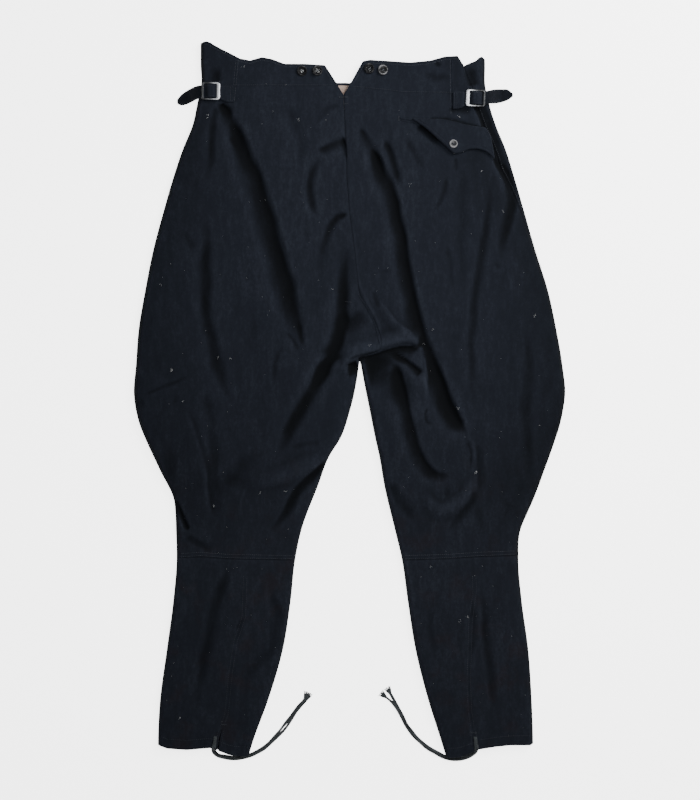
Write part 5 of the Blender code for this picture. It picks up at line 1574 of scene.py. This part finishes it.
# Stitches along a table of the form, a rise over it, from one x to another
def rowOver(table, start, end, rise, count):
    x = np.linspace(start, end, count)
    return stitchRow(np.stack((x, straightThrough(table, x) + rise), axis=1))


# Short rows side by side from end to end, barApart from each other
def barRows(start, end, rows):
    start, end = np.array(start, float), np.array(end, float)
    along = (end - start) / np.hypot(*(end - start))
    off = np.array((-along[1], along[0]))
    for k in range(rows):
        shift = off * ((k - (rows - 1) / 2) * seams["barApart"])
        yield stitchRow((start + shift, end + shift), topAt, *seams["bar"])


# Rows beside the knee seams, waistband, hems, calf seams, notch and right side seam; bars,
# darts and pressed ridges
def makeSeams():
    knee, band, hem, edge = [], [], [], []
    for _, side in legs:
        notch = form["notchSides"][side]
        for rise in seams["knee"]:
            line = np.array(sorted(form["kneeSeam"][side]), float) + (0, rise)
            first, last = seams["kneeIn"][::-side]
            line[0, 0] += first
            line[-1, 0] -= last
            knee.append(stitchRow(line))
        for key, table, foot, rows in (("waist", "waistSeam", notch[0][1], band),
                                       ("edge", "waistEdge", notch[-1][1], edge)):
            at, inwards, past, rise, count = seams[key]
            rows.append(rowOver(form[table], sideSeamX(side, at) - side * inwards,
                                foot + side * past, rise, count))
        y = np.linspace(notch[1][0], notch[-1][0] - seams["notchHead"], seams["notchPoints"])
        edge.append(stitchRow(np.stack((notchX(side, y) + side * seams["notchIn"], y), axis=1)))
        _, outer, inner = form["calfSeam"][side][-1]
        inwards = side * seams["hemIn"]
        for start, end in ((outerX(side, seams["hemAt"]) - inwards, outer),
                           (inner, innerX(side, seams["hemAt"]) + inwards)):
            end = end - np.sign(end - start) * seams["hemIn"]
            hem.append(rowOver(form["hem"][side], start, end, seams["hem"], seams["hemPoints"]))
        for head, foot, count, beside, thread in seams["calf"]:
            y = np.linspace(head, foot, count)
            for column, way in ((1, side), (2, -side)):
                line = np.stack((calfX(side, column, y) + way * beside, y), axis=1)
                hem.append(stitchRow(line, thread=thread))
        if side > 0:
            y = np.linspace(*seams["side"])
            edge.append(stitchRow(np.stack((sideSeamX(side, y) + seams["sideIn"], y), axis=1)))
    addStitches("kneeStitching", knee)
    addStitches("waistbandStitching", band, "darkThread")
    addStitches("hemStitching", hem, "darkThread")
    addStitches("edgeStitching", edge)
    addStitches("barTacks", [row for bar in seams["bars"] for row in barRows(*bar)],
                "darkThread")
    addStitches("dartStitching", [stitchRow(route, topAt, *seams["dart"], smooth=True)
                                  for route in seams["darts"]])
    for welt in seams["welts"]:
        addWelt(*welt)


lint = {
    # where it lies, and how many fibres lie there
    "spots": ((-266, 45, 9), (-248, -3, 4), (-196, 63, 3), (-178, 61, 3), (-134, -140, 4),
              (-95, -137, 3), (-202, -159, 3), (-26, 165, 3), (31, 81, 4), (112, 85, 3),
              (124, 105, 3), (161, -12, 4), (190, -108, 10), (277, 126, 4), (229, 282, 3),
              (197, 342, 3), (89, 321, 3), (-74, 420, 3), (-253, -474, 4), (166, -330, 4),
              (176, -324, 3), (122, -248, 3), (197, -248, 3), (-281, 172, 3), (-158, 498, 3),
              (-211, 424, 3), (163, 423, 3), (188, 393, 3)),
    "scatter": 0.5, "size": (0.25, 0.62), "seed": 7,
    "strewn": 170, "strewnSize": (0.12, 0.28), "reach": (-505, 480), "inside": (0.05, 0.95),
    "links": 3, "linkStep": 0.9, "bend": 0.6, "raised": 0.16,
    "long": 1.05, "wide": 0.06, "high": 0.05, "grow": 0.08,
}


# Each fibre is a chain of beads that bends as it goes; short ones are strewn wide
def makeLint():
    dice = np.random.default_rng(lint["seed"])
    spots = []
    for x, y, count in lint["spots"]:
        scatter = lint["scatter"] * count ** 0.5
        spots += [(x + dice.normal(0, scatter), y + dice.normal(0, scatter),
                   dice.uniform(*lint["size"])) for _ in range(count)]
    for _ in range(lint["strewn"]):
        y = dice.uniform(*lint["reach"])
        side = -1 if dice.random() < 0.5 else 1
        x = outerX(side, y) + (innerX(side, y) - outerX(side, y)) * dice.uniform(*lint["inside"])
        spots.append((x, y, dice.uniform(*lint["strewnSize"])))
    spots = np.array(spots)
    at, size = spots[:, :2], spots[:, 2]
    way = dice.uniform(0, 2 * pi, len(spots))
    places, along = [], []
    for _ in range(lint["links"]):
        heading = np.stack((np.cos(way), np.sin(way)), axis=1)
        step = heading * size[:, None]
        places.append(at + step)
        along.append(np.column_stack((heading, 0 * way)))
        at = at + 2 * step * lint["linkStep"]
        way = way + dice.normal(0, lint["bend"], len(way))
    places, along = np.concatenate(places), np.concatenate(along)
    size = np.tile(size, lint["links"])
    height = topAt(places[:, 0], places[:, 1]) + lint["raised"]
    half = np.stack((size * lint["long"], lint["wide"] + lint["grow"] * size,
                     lint["high"] + lint["grow"] * size), axis=1)
    beads("lint", np.column_stack((places, height)), along, half, "lint")


makeLining()
makeFlap()
makeButtons()
for word, side in legs:
    makeStrap(side, word)
    makeBuckle(side, word)
    for strand, letter in ((1, "a"), (-1, "b")):
        makeTape(side, word, strand, letter)
print("breeches: lining, flap, buttons, straps, buckles and tapes made")
makeSeams()
makeLint()
print("breeches: seams, bars and lint made")


# Floor, lights, world and camera, in metres
studio = {
    "floor": 120, "floorDown": 0.0002, "grain": 3.0, "glow": 3.5,
    "paper": ((0.93, 0.93, 0.93), (0.96, 0.96, 0.96)),
    # name, width and depth, watts, place, what it aims at
    "lights": (("overhead", (1.1, 1.1), 26, (0.34, 0.28, 1.5), (0.1, 0.15, 0)),
               ("key", (1.0, 0.7), 46, (1.25, 1.1, 1.1), (0.1, 0.1, 0))),
    "world": (1, 1, 1, 1), "worldStrength": 0.3,
    "lens": 85, "camera": (0.000675, 0, 2.8333),
}
bpy.ops.mesh.primitive_plane_add(size=studio["floor"], location=(0, 0, -studio["floorDown"]))
floor = bpy.context.object
floor.name = "floor"
paper = Finish("floor", Roughness=0.95, Specular_IOR_Level=0.1,
               Emission_Strength=studio["glow"], Emission_Color=(1, 1, 1, 1))
paper.feed(Base_Color=paper.blend(paper.noise(studio["grain"]), *studio["paper"]))
floor.data.materials.append(paper.material)


# Area light turned to face its aim
def addLight(name, size, power, place, aim):
    lamp = bpy.data.lights.new(name, "AREA")
    lamp.shape = "RECTANGLE"
    lamp.size, lamp.size_y = size
    lamp.energy = power
    light = bpy.data.objects.new(name, lamp)
    light.location = place
    reach = np.array(aim) - np.array(place)
    light.rotation_euler = (np.arctan2(np.hypot(*reach[:2]), -reach[2]), 0,
                            np.arctan2(reach[1], reach[0]) - pi / 2)
    bpy.context.scene.collection.objects.link(light)


for light in studio["lights"]:
    addLight(*light)
world = bpy.data.worlds.new("studio")
world.use_nodes = True
background = world.node_tree.nodes["Background"]
background.inputs["Color"].default_value = studio["world"]
background.inputs["Strength"].default_value = studio["worldStrength"]
bpy.context.scene.world = world

lens = bpy.data.cameras.new("camera")
lens.lens = studio["lens"]
camera = bpy.data.objects.new("camera", lens)
camera.location = studio["camera"]
bpy.context.scene.collection.objects.link(camera)
bpy.context.scene.camera = camera

print("breeches: floor, light and camera set")
